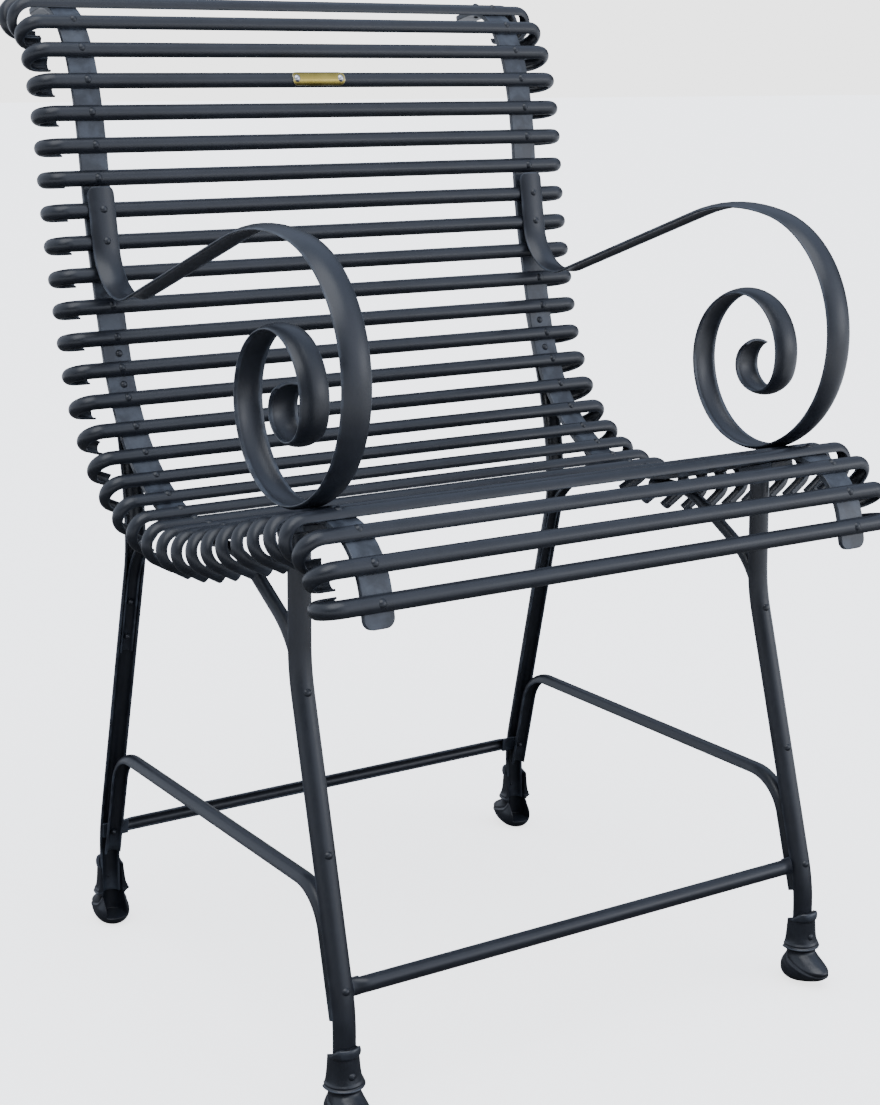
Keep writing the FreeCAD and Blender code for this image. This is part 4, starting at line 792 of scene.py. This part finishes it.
plate_corner = corner_stops(PLATE_CORNER, 12)
plate_stops = np.concatenate([
    plate_corner, np.linspace(0, 2 * PLATE_HALF, 30), 2 * PLATE_HALF - plate_corner,
])
plate_rows, plate_shrink = eased(np.unique(plate_stops), PLATE_ROUNDING)
plate_half = np.minimum(
    trimmed(plate_rows, PLATE_HEIGHT / 2, PLATE_CORNER),
    trimmed(2 * PLATE_HALF - plate_rows, PLATE_HEIGHT / 2, PLATE_CORNER),
)
corner_points, corner_normals, corner_mask = flat_section(
    np.maximum(plate_half, PLATE_LEAST), PLATE_SHEET, PLATE_ROUNDING
)
run_x = plate_half[:, None] * np.linspace(1, -1, RUN_POINTS + 2)[1:-1] * RUN_SHARE
top_run = np.stack([run_x, np.full_like(run_x, PLATE_SHEET)], axis=-1)
low_run = np.stack([-run_x, np.zeros_like(run_x)], axis=-1)
plate_loop = with_runs(corner_points, top_run, low_run, axis=1)
upward = np.tile([0.0, 1.0], (RUN_POINTS, 1))
plate_loop = plate_loop - plate_shrink[:, None, None] * with_runs(corner_normals, upward, -upward)
crown = SLAT_RADIUS + PLATE_GAP + plate_loop[..., 1]
bend = plate_loop[..., 0] / SLAT_RADIUS
origin, beside, out = station_frames([PLATE_SLAT])
plate_grid = (
    origin[0]
    + (plate_rows[:, None] - PLATE_HALF)[..., None] * ACROSS
    + (crown * np.sin(bend))[..., None] * beside[0]
    + (crown * np.cos(bend))[..., None] * out[0]
)
plate_mask = with_runs(corner_mask, np.zeros(RUN_POINTS), np.zeros(RUN_POINTS))
plate = skin_object("bare_brass_plate", plate_grid, wear_and_highlight_rows(plate_grid, plate_mask))
finish_piece(plate, "brass", "brass_plate")
print("plate:", round(2 * PLATE_HALF), "mm long")

# %% [markdown]
# ## Paint, casting, brass and screws
#
# The iron wears a satin black paint with a cool cast. Close to, it is not even: it was sprayed
# over bar that was never polished, so it has slow changes of tone and a fine grain. Its lips and
# rims are painted paler, partly for thinner paint and partly as a painted highlight where a rounded
# lip catches the light. One node group makes all of that from object coordinates and the
# mask on each mesh, and every material sets its own colours and grain: the bars, the rougher
# castings, the bare brass and the white metal of the two screws in it. The group only puts out
# what varies; the shader and its constant values stay in the material.

# %% Build the shared surface group


def new_group(name, inputs, outputs):
    """Empty shader group with named sockets; gives the tree and its input and output nodes."""
    tree = bpy.data.node_groups.new(name, "ShaderNodeTree")
    for label, kind, value in inputs:
        tree.interface.new_socket(label, in_out="INPUT", socket_type=kind).default_value = value
    for label, kind in outputs:
        tree.interface.new_socket(label, in_out="OUTPUT", socket_type=kind)
    return tree, tree.nodes.new("NodeGroupInput"), tree.nodes.new("NodeGroupOutput")


def feed(tree, socket, value):
    """Link an input to an output, or set it to a number, or to a colour of three numbers."""
    if isinstance(value, bpy.types.NodeSocket):
        tree.links.new(value, socket)
    elif isinstance(value, tuple) and socket.type == "RGBA":
        socket.default_value = (*value, 1)
    else:
        socket.default_value = value


def noise(tree, scale, detail, vector, distortion=0.0):
    """Noise texture on a vector; its scale may be a value or a socket."""
    node = tree.nodes.new("ShaderNodeTexNoise")
    inputs = {"Scale": scale, "Detail": detail, "Vector": vector, "Distortion": distortion}
    for label, value in inputs.items():
        feed(tree, node.inputs[label], value)
    return node.outputs["Fac"]


def spread(tree, value, low, high, to_low=0.0, to_high=1.0):
    """Value mapped from one range to another on a smooth step."""
    node = tree.nodes.new("ShaderNodeMapRange")
    node.interpolation_type = "SMOOTHSTEP"
    inputs = {"Value": value, "From Min": low, "From Max": high, "To Min": to_low, "To Max": to_high}
    for label, number in inputs.items():
        feed(tree, node.inputs[label], number)
    return node.outputs["Result"]


def blend(tree, share, first, second):
    """Colour between two colours; the Mix node's sockets 6 and 7 are its two colours."""
    node = tree.nodes.new("ShaderNodeMix")
    node.data_type = "RGBA"
    feed(tree, node.inputs["Factor"], share)
    feed(tree, node.inputs[6], first)
    feed(tree, node.inputs[7], second)
    return node.outputs[2]


def reckon(tree, first, second, operation="MULTIPLY"):
    """Two values multiplied, or joined by another operation."""
    node = tree.nodes.new("ShaderNodeMath")
    node.operation = operation
    feed(tree, node.inputs[0], first)
    feed(tree, node.inputs[1], second)
    return node.outputs[0]


surface, given, result = new_group(
    "uneven_surface",
    [
        ("Deep", "NodeSocketColor", (0.02, 0.02, 0.02, 1)),
        ("Thin", "NodeSocketColor", (0.05, 0.05, 0.05, 1)),
        ("Edge", "NodeSocketColor", (0.1, 0.1, 0.1, 1)),
        ("Grain Scale", "NodeSocketFloat", 900.0),
        ("Grain", "NodeSocketFloat", 0.3),
        ("Sag", "NodeSocketFloat", 0.6),
        ("Smooth", "NodeSocketFloat", 0.3),
        ("Rough", "NodeSocketFloat", 0.45),
    ],
    [("Colour", "NodeSocketColor"), ("Roughness", "NodeSocketFloat"), ("Normal", "NodeSocketVector")],
)
place = surface.nodes.new("ShaderNodeTexCoord").outputs["Object"]
slow = noise(surface, 11, 3, place, distortion=0.4)
patchy = noise(surface, 70, 4, place, distortion=0.2)
fine = noise(surface, given.outputs["Grain Scale"], 3, place)
mask = surface.nodes.new("ShaderNodeAttribute")
mask.attribute_name = "wear_and_highlight"

tone = reckon(surface, reckon(surface, slow, 0.55), reckon(surface, patchy, 0.45), "ADD")
tone = spread(surface, tone, 0.36, 0.64)
painted = blend(surface, tone, given.outputs["Deep"], given.outputs["Thin"])
# Lips and rims blend towards the pale edge colour: thinner paint, and a painted highlight.
rubbed_and_highlight = reckon(surface, mask.outputs["Fac"], spread(surface, patchy, 0.38, 0.66, 0.25, 1.0))
colour = blend(surface, rubbed_and_highlight, painted, given.outputs["Edge"])
gloss = spread(surface, patchy, 0.3, 0.7, given.outputs["Smooth"], given.outputs["Rough"])
grain = reckon(surface, fine, given.outputs["Grain"])
height = reckon(surface, grain, reckon(surface, patchy, given.outputs["Sag"]), "ADD")
bump = surface.nodes.new("ShaderNodeBump")
for label, value in {"Strength": 0.5, "Distance": 0.0005, "Height": height}.items():
    feed(surface, bump.inputs[label], value)
for label, value in {"Colour": colour, "Roughness": gloss, "Normal": bump.outputs["Normal"]}.items():
    feed(surface, result.inputs[label], value)
print("surface group:", len(surface.nodes), "nodes")

# %% Mix the materials from it


def surface_material(name, metallic=0.0, coat=0.0, **values):
    """Principled material that takes colour, roughness and normal from the shared group."""
    material = bpy.data.materials.new(name)
    material.use_nodes = True
    tree = material.node_tree
    shader = tree.nodes["Principled BSDF"]
    group = tree.nodes.new("ShaderNodeGroup")
    group.node_tree = surface
    for label, value in values.items():
        feed(tree, group.inputs[label.replace("_", " ").title()], value)
    wanted = {
        "Base Color": group.outputs["Colour"], "Roughness": group.outputs["Roughness"],
        "Normal": group.outputs["Normal"], "Metallic": metallic, "Coat Weight": coat,
        "Coat Roughness": 0.35, "Specular IOR Level": 0.5,
    }
    for label, value in wanted.items():
        feed(tree, shader.inputs[label], value)
    material.diffuse_color = (*values["thin"], 1)
    return material


# Each edge colour is the pale colour of lips and rims: thinner paint plus a painted highlight.
MATERIALS = {
    "painted_iron": surface_material(
        "satin_black_paint",
        deep=(0.0105, 0.0125, 0.0170), thin=(0.0145, 0.0172, 0.0230), edge=(0.050, 0.060, 0.076),
        grain_scale=1100, grain=0.15, sag=0.14, smooth=0.32, rough=0.37,
    ),
    "painted_casting": surface_material(
        "painted_sand_casting", coat=0.1,
        deep=(0.0095, 0.0112, 0.0150), thin=(0.0145, 0.0172, 0.0230), edge=(0.050, 0.060, 0.075),
        grain_scale=620, grain=0.6, sag=0.9, smooth=0.28, rough=0.38,
    ),
    # The plate's rims take the near-white edge colour: a painted highlight.
    "brass": surface_material(
        "bare_brass", metallic=1.0,
        deep=(0.34, 0.258, 0.062), thin=(0.44, 0.345, 0.092), edge=(0.88, 0.84, 0.68),
        grain_scale=1500, grain=0.12, sag=0.12, smooth=0.22, rough=0.28,
    ),
    "plate_screws": surface_material(
        "white_metal", metallic=1.0,
        deep=(0.52, 0.52, 0.55), thin=(0.66, 0.66, 0.69), edge=(0.90, 0.90, 0.93),
        grain_scale=1500, grain=0.12, sag=0.12, smooth=0.18, rough=0.26,
    ),
}
for piece, slot in made:
    piece.data.materials.clear()
    piece.data.materials.append(MATERIALS[slot])
slots = {part["node"]: part["material_slot"] for part in frame["record"]["subparts"]}
for name, node in frame["nodes"].items():
    if not node.material_slots:
        node.data.materials.append(None)
    for material_slot in node.material_slots:
        material_slot.material = MATERIALS.get(name, MATERIALS[slots[name]])
print("materials:", sorted(material.name for material in MATERIALS.values()))

# %% [markdown]
# ## Floor, light and camera
#
# Black satin paint is judged by what it reflects. The camera sees a plain pale floor and a plain
# bright surround, but the bars mirror a studio that has light and dark in it: a floor painted dark
# near the chair, a painted shade that only reflections see, and pale further off, a dome that
# brightens upwards, a broad glow low in front and a weaker one behind. Without this painted shade
# the underside of each slat would be as bright as its top. Two soft lamps and a hazy overhead
# light do the rest. The camera stands where the photographer stood, found from the places of the
# slats' ends.

# %% Lay the floor and light the dome
bpy.ops.mesh.primitive_plane_add(size=240, location=(0, 0, -0.0002))
floor = bpy.context.object
floor.name = "studio_floor"
floor_material = bpy.data.materials.new("pale_floor")
floor_material.use_nodes = True
tree = floor_material.node_tree
reach = tree.nodes.new("ShaderNodeVectorMath")
reach.operation = "DISTANCE"
feed(tree, reach.inputs[0], tree.nodes.new("ShaderNodeTexCoord").outputs["Object"])
feed(tree, reach.inputs[1], (-0.2, 0.45, 0))
seen = tree.nodes.new("ShaderNodeLightPath").outputs["Is Camera Ray"]
# Colour seen only by reflected rays: painted shade, dark near the chair and pale from 2.2 m.
painted_shade_floor = blend(
    tree, spread(tree, reach.outputs["Value"], 1.1, 2.2), (0.09, 0.088, 0.085), (0.92, 0.90, 0.87)
)
wanted = {
    "Base Color": blend(tree, seen, painted_shade_floor, (0.93, 0.93, 0.93)), "Roughness": 0.9,
    "Emission Color": (1.0, 1.0, 1.0), "Emission Strength": reckon(tree, seen, 2.1),
}
for label, value in wanted.items():
    feed(tree, tree.nodes["Principled BSDF"].inputs[label], value)
floor.data.materials.append(floor_material)

world = bpy.data.worlds.new("studio_surround")
bpy.context.scene.world = world
world.use_nodes = True
sky = world.node_tree
sky_way = sky.nodes.new("ShaderNodeTexCoord").outputs["Generated"]


def glow(towards, first, last, under, colour):
    """Colour laid over another where the way's product with a direction passes a range."""
    product = sky.nodes.new("ShaderNodeVectorMath")
    product.operation = "DOT_PRODUCT"
    feed(sky, product.inputs[0], sky_way)
    feed(sky, product.inputs[1], towards)
    return blend(sky, spread(sky, product.outputs["Value"], first, last), under, colour)


dome = glow((0, 0, 1), 0.15, 0.85, (0.10, 0.105, 0.115), (0.72, 0.85, 1.12))
dome = glow((-0.75, 0.58, 0.32), 0.35, 0.95, dome, (1.0, 1.1, 1.3))
dome = glow((0.62, -0.78, 0.08), 0.5, 0.98, dome, (1.38, 1.5, 1.8))
seen = sky.nodes.new("ShaderNodeLightPath").outputs["Is Camera Ray"]
feed(sky, sky.nodes["Background"].inputs["Color"], blend(sky, seen, dome, (3.0, 3.0, 3.0)))
print("dome:", len(sky.nodes), "nodes")

# %% Hang the lamps
LAMPS = {
    # place, aim, width, height, watts
    "key": ((-1.7, -1.6, 2.3), (0, 0, 0.45), 1.4, 1.4, 10),
    "side": ((2.0, -2.0, 0.9), (0, 0, 0.5), 1.6, 1.0, 9),
}


def hang(name, data, at, towards):
    """Lamp object at a place, turned towards a point."""
    lamp = bpy.data.objects.new(name, data)
    lamp.location = at
    lamp.rotation_euler = (Vector(towards) - Vector(at)).to_track_quat("-Z", "Y").to_euler()
    bpy.context.scene.collection.objects.link(lamp)


for name, (at, towards, width, height, watts) in LAMPS.items():
    data = bpy.data.lights.new(name, "AREA")
    data.shape = "RECTANGLE"
    data.size, data.size_y = width, height
    data.energy = watts
    hang(name, data, at, towards)
daylight = bpy.data.lights.new("daylight", "SUN")
daylight.energy = 1.6
daylight.angle = math.radians(55)
hang("daylight", daylight, (0, 0, 0), (0.15, 0.35, -1))
print("lamps:", len(LAMPS), "and a daylight")

# %% Place the camera
YAW, PITCH, ROLL = math.radians(32.146), math.radians(14.283), math.radians(-0.306)
EYE = (-0.9221, -1.4699, 0.7915)
FOCAL_PIXELS, CENTRE_X, CENTRE_Y = 1961.9, 433.5, 586.8
PICTURE_WIDTH, PICTURE_HEIGHT = 880, 1105
SENSOR = 36
ahead = Vector((math.sin(YAW) * math.cos(PITCH), math.cos(YAW) * math.cos(PITCH), -math.sin(PITCH)))
level = Vector((math.cos(YAW), -math.sin(YAW), 0))
upright = level.cross(ahead)
right = level * math.cos(ROLL) + upright * math.sin(ROLL)
above = -level * math.sin(ROLL) + upright * math.cos(ROLL)
lens = bpy.data.cameras.new("photographer")
lens.sensor_fit = "AUTO"
lens.sensor_width = SENSOR
lens.lens = FOCAL_PIXELS * SENSOR / PICTURE_HEIGHT
lens.shift_x = (PICTURE_WIDTH / 2 - CENTRE_X) / PICTURE_HEIGHT
lens.shift_y = (CENTRE_Y - PICTURE_HEIGHT / 2) / PICTURE_HEIGHT
camera = bpy.data.objects.new("photographer", lens)
turn = Matrix((right, above, -ahead)).transposed().to_4x4()
camera.matrix_world = Matrix.Translation(EYE) @ turn
bpy.context.scene.collection.objects.link(camera)
bpy.context.scene.camera = camera
print("camera: lens", round(lens.lens, 2), "shift", round(lens.shift_x, 4), round(lens.shift_y, 4))
